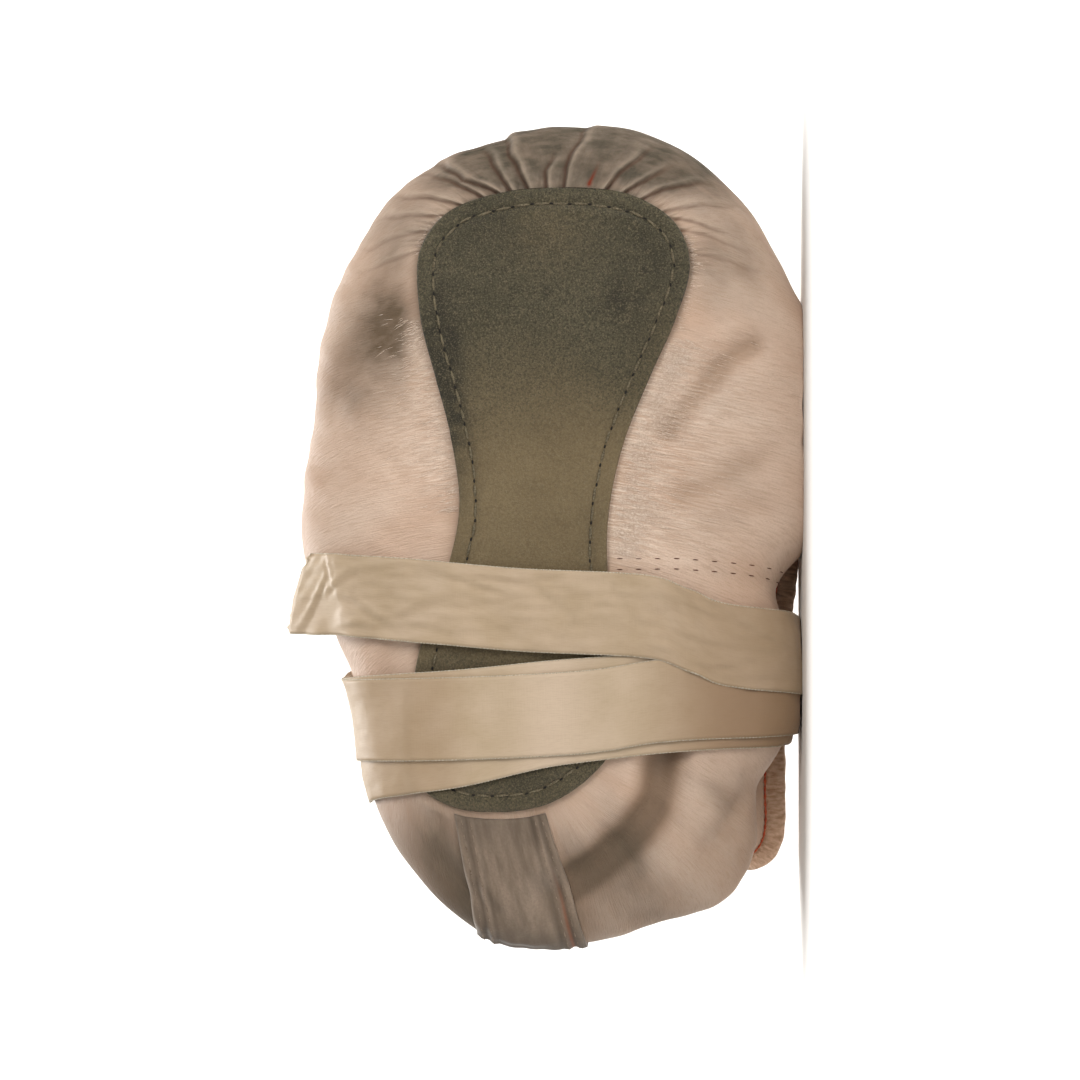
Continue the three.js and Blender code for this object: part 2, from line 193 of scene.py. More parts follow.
# The smooth outer face. v runs from the turned-in margin (0) by the sole's edge (1) and the widest
# line (2) to the rim (3). The floor presses it flat.
def smoothSkin(u, v):
    u, v = np.broadcast_arrays(np.asarray(u, float), np.asarray(v, float))
    t = v[..., None]
    start = closedCurve(edgeLoop, u)
    start[..., 1] = upperDepth(start[..., 0])
    under = start + inwards(edgeLoop, u, 0.02) * (1 - t) * shoe["margin"]
    under[..., 1] = upperDepth(under[..., 0])
    wide = closedCurve(wideLoop, u)
    turn = closedCurve(turnLoop, u)
    flat = start + (wide - start) * shoe["underReach"]
    flat[..., 1] = start[..., 1]
    drop = wide.copy()
    drop[..., 1] += (start[..., 1] - wide[..., 1]) * turn[..., 2]
    end = closedCurve(rimLoop, u)
    rise = wide.copy()
    rise[..., 1] += (end[..., 1] - wide[..., 1]) * turn[..., 1]
    far = np.linalg.norm(end - wide, axis=-1, keepdims=True)
    closing = end - rimDirection(u) * shoe["sideReach"] * far
    face = cubic(start, flat, drop, wide, np.clip(t - 1, 0, 1))
    side = cubic(wide, rise, closing, end, np.clip(t - 2, 0, 1))
    point = np.where(t <= 1, under, np.where(t <= 2, face, side))
    point[..., 2] = np.maximum(point[..., 2], 0)
    return point


# The way out of a skin that is given by (u, v)
def normalOf(skin, u, v, step=0.002):
    along = skin(u + step, v) - skin(u - step, v)
    up = skin(u, np.minimum(v + 0.01, 3)) - skin(u, np.maximum(v - 0.01, 0))
    return unit(np.cross(along, up))


# The pleats drawn in over the toe. Each is a step in the cloth, deep mm high at the sole's edge, that
# runs through (v, rib) and fades by reach. tip is its share of that height at the widest line. lay is 1
# where the upper layer is on the side nearer the heel's middle by rib number, and -1 where it is on the
# other; between them it is a plain valley.
pleats = [
    # deep, tip, reach, lay, line
    (0.7, 0.3, 1.75, -0.5, [(1.0, 11.00), (1.5, 10.60)]),
    (0.8, 0.4, 1.85, -0.6, [(1.0, 11.50), (1.5, 11.05)]),
    (1.0, 0.5, 1.95, -0.7, [(1.0, 11.95), (1.16, 11.75), (1.4, 11.60), (2.0, 11.40)]),
    (1.3, 0.6, 2.05, -0.8, [(1.0, 12.32), (1.21, 12.13), (1.59, 11.88), (2.0, 11.80)]),
    (1.9, 0.4, 2.10, -0.9, [(1.0, 12.72), (1.25, 12.52), (1.5, 12.40), (2.0, 12.20)]),
    (2.2, 0.5, 2.35, -1.0, [(1.0, 13.00), (1.12, 12.83), (1.29, 12.60), (2.07, 12.42), (2.5, 12.40)]),
    (2.3, 0.35, 2.00, -1.0, [(1.0, 13.19), (1.16, 13.10), (1.39, 13.05), (2.0, 12.98)]),
    (2.4, 0.6, 2.55, -1.0, [(1.0, 13.47), (1.17, 13.37), (1.41, 13.28), (2.08, 13.27), (2.7, 13.30)]),
    (1.8, 0.2, 1.42, -0.9, [(1.0, 13.76), (1.10, 13.73), (1.17, 13.71), (1.3, 13.80), (1.5, 13.86)]),
    (2.3, 0.5, 2.55, -0.9, [(1.0, 14.03), (1.20, 13.99), (1.62, 14.10), (2.04, 14.14), (2.7, 14.12)]),
    (1.9, 0.4, 1.75, 0.9, [(1.0, 14.58), (1.18, 14.66), (1.38, 14.78), (1.8, 14.95)]),
    (1.6, 0.3, 1.55, 0.9, [(1.0, 14.84), (1.19, 15.03), (1.5, 15.22)]),
    (1.6, 0.4, 1.80, 0.9, [(1.0, 15.16), (1.2, 15.33), (1.39, 15.52), (1.8, 15.80)]),
    (0.9, 0.4, 1.90, 0.7, [(1.0, 15.62), (1.49, 16.02), (1.9, 16.20)]),
    (1.0, 0.2, 1.45, 0.7, [(1.0, 15.78), (1.23, 16.26), (1.5, 16.70)]),
    (0.8, 0.3, 1.60, 0.6, [(1.0, 16.12), (1.3, 16.62), (1.6, 17.00)]),
    (0.6, 0.3, 1.70, 0.4, [(1.0, 16.70), (1.4, 17.10), (1.7, 17.30)]),
]
pleatShape = {
    "step": 0.4, "widen": 1.5, "lowSide": 3.8, "highSide": 3.2, "lip": 0.7, "crease": 0.55,
    "dip": 0.72, "crown": 0.38, "valley": 1.6, "fullDepth": 1.6, "sway": 0.5, "puff": 0.8,
}
gathers = {
    "from": 11.0, "to": 17.2, "count": 84, "deep": 0.34, "wide": 0.5, "reach": 0.22,
    "middle": 13.95, "fan": 0.12,
}

# Soft folds. Each is a line of (X, Z) in mm with its depth (below 0 a ridge) and width.
folds = [
    (2.5, 3.3, [(163.5, 13.6), (158.0, 22.2), (152.6, 26.4), (147.0, 31.4), (140.4, 36.5)]),
    (-1.0, 4.4, [(168.0, 19.0), (160.5, 29.0), (152.0, 35.0)]),
    (-1.0, 4.6, [(157.0, 9.0), (148.0, 20.0), (138.0, 30.0)]),
    (1.5, 4.6, [(133.0, 11.6), (129.5, 18.8), (125.8, 26.4), (122.5, 33.0)]),
    (0.5, 4.4, [(120.0, 12.0), (114.5, 22.0), (112.0, 38.0)]),
    (5.0, 6.6, [(58.0, 36.5), (51.7, 37.5), (41.4, 38.9), (33.9, 43.3), (25.0, 51.8), (18.4, 60.6),
                (13.4, 66.6)]),
    (-1.6, 6.5, [(58.0, 25.0), (44.0, 26.0), (31.0, 32.0), (19.0, 44.0), (9.0, 56.0)]),
    (-0.8, 4.0, [(56.0, 46.0), (44.0, 48.5), (37.0, 54.0), (29.0, 62.0)]),
    (1.2, 3.6, [(44.0, 14.5), (36.0, 19.0), (28.0, 25.0)]),
    (-0.6, 3.0, [(52.0, 20.0), (44.0, 21.0), (38.0, 24.0)]),
    (1.2, 3.4, [(36.0, 98.0), (27.0, 97.5), (16.0, 91.0)]),
    (-0.9, 1.6, [(41.8, 102.4), (38.5, 97.5), (37.4, 93.6)]),
    (0.8, 1.4, [(43.8, 100.4), (40.2, 96.5), (39.4, 93.2)]),
    (1.0, 5.0, [(150.0, 127.0), (158.0, 121.0), (166.0, 115.5), (176.0, 110.5)]),
    (-0.8, 6.0, [(146.0, 119.0), (155.0, 113.5), (165.0, 108.0)]),
    (0.5, 6.0, [(128.0, 131.0), (131.0, 118.0), (134.0, 104.0)]),
    (0.8, 3.6, [(184.0, 16.0), (178.0, 24.0), (172.0, 29.0)]),
    (0.6, 4.5, [(92.0, 118.0), (84.0, 112.0), (74.0, 110.0)]),
    (0.9, 3.2, [(196.0, 24.0), (188.0, 18.0), (180.0, 12.0)]),
]
foldLines = [(deep, wide, openCurve(np.array(line), 5)) for deep, wide, line in folds]

# Fine waves in the satin: height in mm, seed, length
waves = {"broad": (0.22, 5, 34.0), "slanting": (0.2, 71, 15.0), "sides": (0.5, 8, 26.0)}

# The seams that join vamp and quarters, as (rib, v) from the sole's edge to the rim
seams = {
    "right": [(21.70, 1.0), (21.70, 1.22), (21.77, 1.46), (21.93, 1.98), (21.95, 2.5), (21.95, 3.0)],
    "left": [(5.6, 1.0), (5.52, 1.5), (5.4, 2.0), (5.35, 2.5), (5.35, 3.0)],
}
seamLook = {
    "rise": 0.28, "half": 2.2, "rows": 1.5, "sunk": 0.16, "pitch": 5.1, "stitch": (1.6, 0.3, 0.34),
    "upTo": {"right": 1.985, "left": 2.2},
}
# The ribbon's turns lie over the cloth between these X, and keep it down
underRibbon = {"from": 38, "to": 110, "highest": 0.3}


# Shortest way from points to a line of points, in the plane of the sole
def lineDistance(x, z, line):
    best = np.full(np.shape(x), 1e9)
    for (ax, az), (bx, bz) in zip(line, line[1:]):
        dx, dz = bx - ax, bz - az
        t = np.clip(((x - ax) * dx + (z - az) * dz) / (dx * dx + dz * dz), 0, 1)
        best = np.minimum(best, np.hypot(x - ax - t * dx, z - az - t * dz))
    return best


# Mm of cloth along one rib at the sole's edge, the widest line and the rim
loopShares = np.linspace(0, 1, 1201)
loopSlopes = [np.gradient(closedCurve(loop, loopShares), loopShares, axis=0)
              for loop in (edgeLoop, wideLoop, rimLoop)]
loopSpans = [np.linalg.norm(slope, axis=-1) / ribCount for slope in loopSlopes]


def ribWidth(u, v):
    edge, wide, rim = [np.interp(u % 1.0, loopShares, each) for each in loopSpans]
    t = np.clip(v - 1, 0, 2)
    return np.where(t < 1, edge + (wide - edge) * t, wide + (rim - wide) * (t - 1))


# Heights of the pleats, and where painted shade goes in their creases and painted highlight on their lips; t
# is how far out from the sole's edge
def pleated(rib, v, t, local):
    k = pleatShape
    high, crease, lips = 0, 0, 0
    out = np.clip(t, 0, 1)
    for deep, tip, reach, lay, line in pleats:
        line = np.array(line)
        d = (rib - np.interp(v, line[:, 0], line[:, 1])) * local
        d = d + k["sway"] * np.sin(v * 17 + deep * 40) * t
        fade = (1 - ease(v, (1 + reach) / 2, reach)) * ease(v, 0.9, 0.99)
        depth = deep * (1 + (tip - 1) * out) * fade
        low = np.sign(lay) * d
        grow = 1 + 1.1 * out
        ramp = np.exp(-np.clip(low, 0, None) / (k["lowSide"] * grow))
        crest = np.exp(-(np.clip(-low, 0, None) / (k["highSide"] * grow)) ** 1.5)
        soft = k["step"] + k["widen"] * np.clip(t, 0, 1.2)
        step = ease(low, -soft, soft)
        folded = k["crown"] * crest * (1 - step) - k["dip"] * ramp * step
        valley = -np.exp(-(np.abs(d) / k["valley"]) ** 1.4)
        high = high + depth * (abs(lay) * folded + (1 - abs(lay)) * valley)
        shown = np.clip(depth / k["fullDepth"], 0, 1)
        narrow = 1 - 0.6 * ease(t, 0.25, 0.9)
        # painted shade goes in the crease beside each step, painted highlight on its lip
        crease = np.maximum(crease, shown * narrow * bell(low - 0.4 - 0.5 * t, k["crease"]))
        lips = np.maximum(lips, shown * bell(low + 0.6 + 0.9 * t, k["lip"] + 0.8 * t))
    return high, crease, lips


# Depth of the fine gathers between the pleats, which fan out from the middle of the toe
def gathered(rib, v, t, local):
    k = gathers
    r = np.random.default_rng(31)
    sunk = 0
    for at in np.linspace(k["from"], k["to"], k["count"]):
        at = at + r.uniform(-0.05, 0.05)
        reach = k["reach"] * r.uniform(0.6, 2.2)
        deep = k["deep"] * r.uniform(0.4, 1.3)
        d = (rib - at - (at - k["middle"]) * k["fan"] * t) * local
        sunk = sunk + deep * bell(d, k["wide"]) * (1 - ease(t, 0, reach))
    return sunk * ease(v, 0.9, 0.99)


# How far the cloth stands off its smooth shape at (u, v), and where its creases and lips are, for the
# painted shade and highlight
def relief(u, v, point):
    rib = (u % 1.0) * ribCount
    t = np.clip(v - 1, 0, None)
    local = ribWidth(u, v)
    high, crease, lips = pleated(rib, v, t, local)
    high = high - gathered(rib, v, t, local)
    puff = ease(rib, 10.5, 12.0) * (1 - ease(rib, 16.2, 17.6)) * ease(v, 1.02, 1.4) * (1 - ease(v, 1.9, 2.5))
    high = high + pleatShape["puff"] * puff
    x, z = point[..., 0], point[..., 2]
    front = ease(v, 0.98, 1.06) * (1 - ease(v, 2.1, 2.5))
    for deep, wide, line in foldLines:
        high = high - deep * bell(lineDistance(x, z, line), wide) * front
    broad, slanting, sides = waves["broad"], waves["slanting"], waves["sides"]
    high = high + broad[0] * ripple(x, z, *broad[1:]) * front
    high = high + slanting[0] * ripple(0.35 * x + 0.5 * z, 1.3 * x - z, *slanting[1:]) * front
    high = high + sides[0] * ripple(rib * shoe["ribLong"], v * 22, *sides[1:]) * ease(v, 2.2, 2.6)
    for line in map(np.array, seams.values()):
        d = (rib - np.interp(v, line[:, 1], line[:, 0])) * local
        edge = 1 - ease(np.abs(d), seamLook["half"] - 0.7, seamLook["half"])
        rows = bell(d - seamLook["rows"], 0.55) + bell(d + seamLook["rows"], 0.55)
        high = high + (seamLook["rise"] * edge - seamLook["sunk"] * rows) * front
    # nothing stands up against the sole's edge or through the ribbon's turns
    under = ease(x, underRibbon["from"], underRibbon["from"] + 7)
    under = under * (1 - ease(x, underRibbon["to"] - 5, underRibbon["to"]))
    high = np.where(high > 0, high * ease(v, 0.99, 1.16), high)
    high = high + (np.minimum(high, underRibbon["highest"]) - high) * under
    return high, crease, lips


# A point of the dressed cloth, lift away from its outer face
def cloth(u, v, lift=0.0):
    u, v = np.broadcast_arrays(np.asarray(u, float), np.asarray(v, float))
    point = smoothSkin(u, v)
    out = normalOf(smoothSkin, u, v)
    result = point + out * (relief(u, v, point)[0] + lift)[..., None]
    onFloor = (v >= 1) & (lift > -0.01)
    result[..., 2] = np.where(onFloor, np.maximum(result[..., 2], 0), result[..., 2])
    return result


# A cloth or strip is a grid, laid along the piece row by row. Points that fall together are merged,
# open ends are filled and the faces turned outwards, so that every piece is closed.
def gridPiece(name, points, uvs=None, layers=None, slots=None):
    rows, columns = points.shape[:2]
    bpy.ops.object.select_all(action="DESELECT")
    bpy.ops.mesh.primitive_grid_add(x_subdivisions=columns - 1, y_subdivisions=rows - 1, size=0.1)
    obj = bpy.context.object
    obj.name = name
    mesh = obj.data
    mesh.vertices.foreach_set("co", placed(points).reshape(-1))
    for layerName, values in (layers or {}).items():
        layer = mesh.attributes.new(layerName, "FLOAT", "POINT")
        values = np.array(np.broadcast_to(values, points.shape[:2]), np.float32)
        layer.data.foreach_set("value", values.reshape(-1))
    if uvs is not None:
        corners = np.empty(len(mesh.loops), np.int32)
        mesh.loops.foreach_get("vertex_index", corners)
        uvs = np.asarray(uvs, np.float32).reshape(-1, 2)[corners]
        mesh.uv_layers.active.name = "cloth"
        mesh.uv_layers.active.data.foreach_set("uv", uvs.reshape(-1))
    if slots is not None:
        mesh.polygons.foreach_set("material_index", np.asarray(slots, np.int32).reshape(-1))
    bpy.ops.object.mode_set(mode="EDIT")
    bpy.ops.mesh.select_all(action="SELECT")
    bpy.ops.mesh.remove_doubles(threshold=1e-7)
    bpy.ops.mesh.fill_holes(sides=0)
    bpy.ops.mesh.select_all(action="SELECT")
    bpy.ops.mesh.normals_make_consistent(inside=False)
    bpy.ops.object.mode_set(mode="OBJECT")
    bpy.ops.object.shade_smooth()
    return obj


# A piece from loose points and faces, for what is copied along a line
def facesPiece(name, points, faces):
    mesh = bpy.data.meshes.new(name)
    mesh.from_pydata(placed(points.reshape(-1, 3)).tolist(), [], faces)
    obj = bpy.data.objects.new(name, mesh)
    bpy.context.scene.collection.objects.link(obj)
    return obj


def finishPiece(obj, slot, *materials):
    for material in materials:
        obj.data.materials.append(material)
    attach(obj, "root")
    print(obj.name + ":", len(obj.data.polygons), "faces")


# Colours are sRGB hex, as picked on screen
def colour(hexText):
    parts = [int(hexText[i:i + 2], 16) / 255 for i in (1, 3, 5)]
    return (*[c / 12.92 if c <= 0.04045 else ((c + 0.055) / 1.055) ** 2.4 for c in parts], 1.0)


# Adds a node. A socket among its settings is linked, and any other value is set.
def addNode(tree, kind, settings, out=0):
    node = tree.nodes.new(kind)
    for key, value in settings.items():
        if isinstance(value, bpy.types.NodeSocket):
            tree.links.new(value, node.inputs[key])
        elif isinstance(key, int) or key in node.inputs:
            node.inputs[key].default_value = value
        else:
            setattr(node, key, value)
    return node.outputs[out]


# A mask is the name of a pattern or of an attribute of the piece, or a tuple of that name, the low and
# high of it that count, and the strength at each
def maskSocket(tree, sources, mask):
    name, *reach = [mask] if isinstance(mask, str) else mask
    if name not in sources:
        sources[name] = addNode(tree, "ShaderNodeAttribute", {"attribute_name": name}, "Fac")
    if not reach:
        return sources[name]
    return addNode(tree, "ShaderNodeMapRange", {0: sources[name], **dict(enumerate(reach, 1))})


# Colours laid one over the other, each as strong as its masks multiplied. A list of layers in place
# of a colour is laid over itself first.
def laidOver(tree, sources, layers):
    for paint, *masks in layers:
        top = colour(paint) if isinstance(paint, str) else laidOver(tree, sources, paint)
        if not masks:
            tone = top
            continue
        amount = 1.0
        for mask in masks:
            factors = {"operation": "MULTIPLY", 0: maskSocket(tree, sources, mask), 1: amount}
            amount = addNode(tree, "ShaderNodeMath", factors)
        tone = addNode(tree, "ShaderNodeMix", {"data_type": "RGBA", 0: amount, 6: tone, 7: top}, 2)
    return tone


# A material from its look. Each pattern is noise of a size in mm along and across, a detail and a
# roughness, on the piece's own cloth map, whose unit is a mm, or on Object coordinates in metres.
# Threads and weaves finer than the render shows are drawn as coarse as they need to be to show.
def makeMaterial(name, look):
    material = bpy.data.materials.new(name)
    material.use_nodes = True
    tree = material.node_tree
    shader = tree.nodes["Principled BSDF"]
    if look["laid"] == "cloth":
        place = addNode(tree, "ShaderNodeUVMap", {"uv_map": "cloth"})
        millimetre = 1.0
    else:
        place = addNode(tree, "ShaderNodeTexCoord", {}, "Object")
        millimetre = 0.001
    sources = {}
    for key, (long, wide, detail, rough) in look["patterns"].items():
        scale = [1 / (size * millimetre) for size in (long, wide, wide)]
        spread = addNode(tree, "ShaderNodeMapping", {"Vector": place, "Scale": scale})
        noise = {"Vector": spread, "Scale": 1.0, "Detail": detail, "Roughness": rough}
        sources[key] = addNode(tree, "ShaderNodeTexNoise", noise)
    for socket, value in look["surface"].items():
        if isinstance(value, tuple):
            tree.links.new(maskSocket(tree, sources, value), shader.inputs[socket])
        else:
            shader.inputs[socket].default_value = value
    tree.links.new(laidOver(tree, sources, look["layers"]), shader.inputs["Base Color"])
    if "bump" in look:
        strength, distance, heights = look["bump"]
        height = 0.0
        for key, share in heights.items():
            added = {"operation": "MULTIPLY_ADD", 0: sources[key], 1: share, 2: height}
            height = addNode(tree, "ShaderNodeMath", added)
        bump = {"Strength": strength, "Distance": distance, "Height": height}
        tree.links.new(addNode(tree, "ShaderNodeBump", bump), shader.inputs["Normal"])
    return material


# Polyester satin: its floats all lie one way, so it has a soft broad gloss with fine short wrinkles
satinLook = {
    "laid": "cloth",
    "surface": {
        "Roughness": ("soil", 0, 1, 0.46, 0.76), "Specular IOR Level": 0.3,
        "Sheen Weight": 0.08, "Sheen Roughness": 0.4,
    },
    "patterns": {
        "wrinkle": (2.6, 0.5, 2, 0.5), "grain": (0.3125, 0.3125, 2, 0.5),
        "cloud": (22.22, 22.22, 4, 0.55), "blot": (4.545, 4.545, 4, 0.55),
    },
    "layers": [
        ("#ceb19c",),
        ("#dcc5b3", ("cloud", 0.36, 0.66)),
        ("#fff1e2", "pull", ("wrinkle", 0.48, 0.62)),
        ("#b3947a", ("wrinkle", 0.32, 0.52, 0.3, 0.0)),
        ("#b3947a", ("grain", 0.36, 0.52, 0.22, 0.0)),
        # painted shade in the cloth's hollows, by the sole's edge and past the widest line
        ("#b3947a", "warm"),
        # painted shade in the deep folds and over the heel
        ("#6a5745", "dusk"),
        ("#63523f", "smudge", ("blot", 0.34, 0.66, 0.86, 1.1)),
        ("#4c463a", "soil", ("blot", 0.34, 0.66, 0.86, 1.1)),
        # painted highlight on the pleats' lips and at the toe's edge
        ("#dccab6", "clean"),
        # painted shade in the pleats' creases
        ("#55392b", "crease"),
        ("#7c3018", "rust"),
    ],
    "bump": (0.8, 0.0003, {"grain": 0.35, "wrinkle": 1.0}),
}


# Plain cotton lining: a dull even weave, yellowed
def liningLook(base, deep):
    return {
        "laid": "object",
        "surface": {"Roughness": 0.92, "Sheen Weight": 0.15},
        "patterns": {"weave": (0.6667, 0.6667, 2, 0.5), "cloud": (22.22, 22.22, 5, 0.6)},
        "layers": [(base,), (deep, ("cloud", 0.38, 0.68)), (deep, ("weave", 0.35, 0.6, 0.18, 0.0))],
        "bump": (0.5, 0.0002, {"weave": 1.0}),
    }


# Cotton thread: twisted, slightly fuzzy, dull
def threadLook(tone, dark):
    return {
        "laid": "object",
        "surface": {"Roughness": 0.85},
        "patterns": {"twist": (0.4545, 0.4545, 2, 0.5)},
        "layers": [(dark,), (tone, ("twist", 0.35, 0.65))],
    }


# Dirt and wear on the satin, placed as on the slipper: X, Z, half length, half width, turn in degrees,
# strength
soilSpots = [
    (221, 60, 9, 26, 0, 0.85), (219, 42, 10, 14, 10, 0.72), (212, 30, 9, 12, 30, 0.62),
    (216, 82, 10, 12, -25, 0.7), (210, 97, 9, 10, -35, 0.42), (203, 110, 9, 9, -40, 0.2),
    (206, 20, 12, 9, 40, 0.46), (209, 64, 6, 30, 0, 0.5), (222, 66, 14, 34, 0, 0.5),
    (194, 113, 9, 8, 0, 0.34), (190, 17, 10, 9, 30, 0.30), (180, 24, 9, 6, 10, 0.26),
    (191, 26, 8, 4, 10, 0.22), (196, 104, 8, 6, -30, 0.30), (30, 99, 9, 5, 0, 0.46),
    (22, 92, 12, 8, -30, 0.5), (8, 70, 7, 18, 0, 0.5), (26, 62, 12, 6, 30, 0.40),
    (10, 88, 9, 9, 0, 0.5), (16, 44, 18, 10, 40, 0.42), (30, 48, 14, 6, 20, 0.36),
    (60, 112, 14, 7, 0, 0.16), (36, 22, 20, 12, 0, 0.24), (34, 104, 12, 7, 0, 0.2),
]
smudgeSpots = [
    (165, 116, 15, 9, -14, 0.8), (167, 108.5, 10, 4.5, 0, 0.65), (149, 122.5, 6, 5, 30, 0.36),
    (176, 114, 9, 6, -20, 0.36), (187, 111, 5, 4, 0, 0.35), (150, 110, 8, 8, 0, 0.22),
    (42, 22, 4, 3, 30, 0.35), (128, 16, 8, 6, 0, 0.14), (150, 22, 9, 6, 0, 0.12),
    (180, 14, 12, 6, 20, 0.22), (118, 24, 12, 9, 0, 0.14), (156, 128, 14, 5, -20, 0.20),
]
rustSpots = [(210.4, 55.6, 1.9, 0.5, -18, 0.9), (208.6, 56.3, 1.1, 0.7, 0, 1.0)]


# Distances along and beside a line through (cx, cz) that is turned by so many degrees
def turnedFrom(x, z, cx, cz, turn):
    a = math.radians(turn)
    along = (x - cx) * math.cos(a) + (z - cz) * math.sin(a)
    return along, (z - cz) * math.cos(a) - (x - cx) * math.sin(a)


def spotted(x, z, spots):
    total = np.zeros_like(x)
    wobbleX = x + 0.8 * ripple(x, z, 3, 14.0)
    wobbleZ = z + 0.8 * ripple(z, x, 4, 14.0)
    for cx, cz, long, wide, turn, strength in spots:
        along, beside = turnedFrom(wobbleX, wobbleZ, cx, cz, turn)
        total = total + strength * bell(along, long) * bell(beside, wide)
    return np.clip(total, 0, 1)


upperMesh = {
    "toeColumns": 520, "otherColumns": 310, "toeFrom": 10.6, "toeTo": 17.4,
    "marginRows": 3, "faceRows": 50, "sideRows": 24, "liningRows": 36,
}


# How worn the satin is and where light and shade are painted on it, for the material: x, z are a point's
# place, high its relief, far its mm of cloth from the sole's edge
def upperWearAndPaintedLight(x, z, rib, girth, far, high, crease, lips):
    face = 1 - ease(girth, 2.2, 2.8)
    toeEnd = ease(x, 196, 212)
    near = np.exp(-np.clip(far, 0, None) / 4.5) * ease(girth, 0.9, 1.0)
    edgeShade = bell(np.clip(far, 0, None), 1.2) * (girth >= 0.97)
    pulled = ease(rib, 18.2, 19.2) * (1 - ease(rib, 21.4, 21.8))
    pulled = pulled + 0.7 * ease(rib, 7.0, 7.4) * (1 - ease(rib, 9.0, 10.2))
    soil = spotted(x, z, soilSpots) * (0.35 + 0.65 * face) * (1 - 0.12 * np.clip(high, 0, 1))
    # painted highlight on the pleats' lips and on the cloth by the sole's edge at the toe's end
    clean = np.clip(lips * 0.34 + 0.26 * near * toeEnd, 0, 0.5) * (1 - 0.5 * soil)
    # painted shade: darker and warmer in the relief's hollows, along the sole's edge and past the widest
    # line
    warm = 0.26 * np.clip(-high - 0.3, 0, 3) * (1 - 0.5 * toeEnd)
    warm = warm + 0.3 * edgeShade + 0.3 * ease(girth, 1.7, 2.1)
    # painted shade, darker in the heel's fold, over the heel's end and its upper side, in the low folds
    # nearer the toe and on the high side of the vamp
    dusk = 0.72 * ease(-high, 1.0, 4.2) * (x < 60) + 0.5 * (1 - ease(x, 4, 46)) + 0.16 * ease(z, 108, 132)
    dusk = dusk + 0.42 * (1 - ease(x, 26, 58)) * ease(z, 84, 94)
    dusk = dusk + 0.2 * ease(-high, 0.8, 2.0) * (x > 120) * (z < 60)
    return {
        # the dirt mask also carries painted shade along the sole's edge nearer the toe
        "soil": np.clip(soil + 0.30 * edgeShade * ease(x, 150, 190), 0, 0.92),
        "smudge": spotted(x, z, smudgeSpots) * face,
        "rust": spotted(x, z, rustSpots) * (girth < 1.6),
        "warm": np.clip(warm, 0, 0.8),
        "pull": near * pulled,
        # painted shade in the pleats' creases
        "crease": crease * 0.7,
        "dusk": np.clip(dusk, 0, 0.85) * face,
        "clean": clean * face,
    }


def makeUpper():
    m = upperMesh
    columns = m["toeColumns"] + m["otherColumns"]
    ends = np.array([0, m["toeFrom"], m["toeTo"], ribCount]) / ribCount
    shares = np.diff(ends)
    counts = m["otherColumns"] * shares / (1 - shares[1])
    counts[1] = m["toeColumns"]
    u = np.interp(np.arange(columns + 1), [0, *np.cumsum(counts)], ends)
    out = np.concatenate([
        np.linspace(0, 1, m["marginRows"], endpoint=False),
        1 + np.linspace(0, 1, m["faceRows"], endpoint=False) ** 1.15,
        np.linspace(2, 3, m["sideRows"] + 1),
    ])
    back = 3 - 3 * np.linspace(0, 1, m["liningRows"]) ** 0.9
    around = u[:, None]
    outer = cloth(around, out[None, :])
    inner = cloth(around, back[None, :], -shoe["wall"])
    points = np.concatenate([outer, inner, outer[:, :1]], 1)
    girth = np.concatenate([out, back, [0]])[None, :]
    lengths = [-shoe["margin"], 0, shoe["faceLong"], shoe["faceLong"] + shoe["sideLong"]]
    far = np.interp(girth, [0, 1, 2, 3], lengths)
    rib = around * ribCount
    # the cloth's map is sheared either way from the toe, so that its floats and wrinkles slant
    shear = 0.6 * np.interp(rib, [0, 3, 11, 13.9, 17, 27, 30], [0, 1, 1, 0, -1, -1, 0])
    uvs = np.stack(np.broadcast_arrays(far, rib * shoe["ribLong"] + shear * far), -1)
    dressed = relief(around, girth, smoothSkin(around, girth))
    layers = upperWearAndPaintedLight(points[..., 0], points[..., 2], rib, girth, far, *dressed)
    slots = np.zeros((columns, girth.shape[1] - 1))
    slots[:, len(out):-1] = 1
    obj = gridPiece("satin_upper", points, uvs, layers, slots)
    lining = makeMaterial("cream_cotton_lining", liningLook("#d9c9b0", "#c2ad90"))
    finishPiece(obj, "upper_satin", makeMaterial("peach_polyester_satin", satinLook), lining)
    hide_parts("upper")


# The outline of the sole moved in by inset, as points
def soleOutline(inset, count=1400):
    u = np.linspace(0, 1, count, endpoint=False)
    return closedCurve(edgeLoop, u) + inwards(edgeLoop, u) * inset


# The lowest and highest Z of an outline at each X
def acrossSole(x, outline):
    a, b = outline, np.roll(outline, -1, 0)
    low, high = np.full(len(x), 1e9), np.full(len(x), -1e9)
    for i, at in enumerate(x):
        hit = ((a[:, 0] - at) * (b[:, 0] - at) <= 0) & (np.abs(a[:, 0] - b[:, 0]) > 1e-9)
        z = a[hit, 2] + (at - a[hit, 0]) / (b[hit, 0] - a[hit, 0]) * (b[hit, 2] - a[hit, 2])
        low[i], high[i] = z.min(), z.max()
    return low, high


# X and Z of a grid that fills an outline; shares say how its rows lie from the low side to the high
def soleGrid(outline, inset, cells, shares):
    tip = soleShape["tip"]
    reach = (shoe["soleFar"] - shoe["soleNear"]) / 2 - inset
    x = soleMiddle - reach * np.cos(np.linspace(tip, math.pi - tip, cells + 1))
    low, high = acrossSole(x, outline)
    z = low[None, :] + (high - low)[None, :] * shares[:, None]
    return np.broadcast_to(x[None, :], z.shape), z


# Distance to an outline, by every other of its points
def edgeDistance(x, z, outline):
    best = np.full(np.shape(x), 1e9)
    for place in outline[::2]:
        best = np.minimum(best, np.hypot(x - place[0], z - place[2]))
    return best


# A flat sheet's face and back as one closed ring of rows, with its layers carried round
def thickened(points, layers, thick):
    back = points + np.array([0, thick, 0])
    rings = np.concatenate([points, back[::-1], points[:1]])
    carried = {name: np.concatenate([each, each[::-1], each[:1]]) for name, each in layers.items()}
    return rings, None, carried


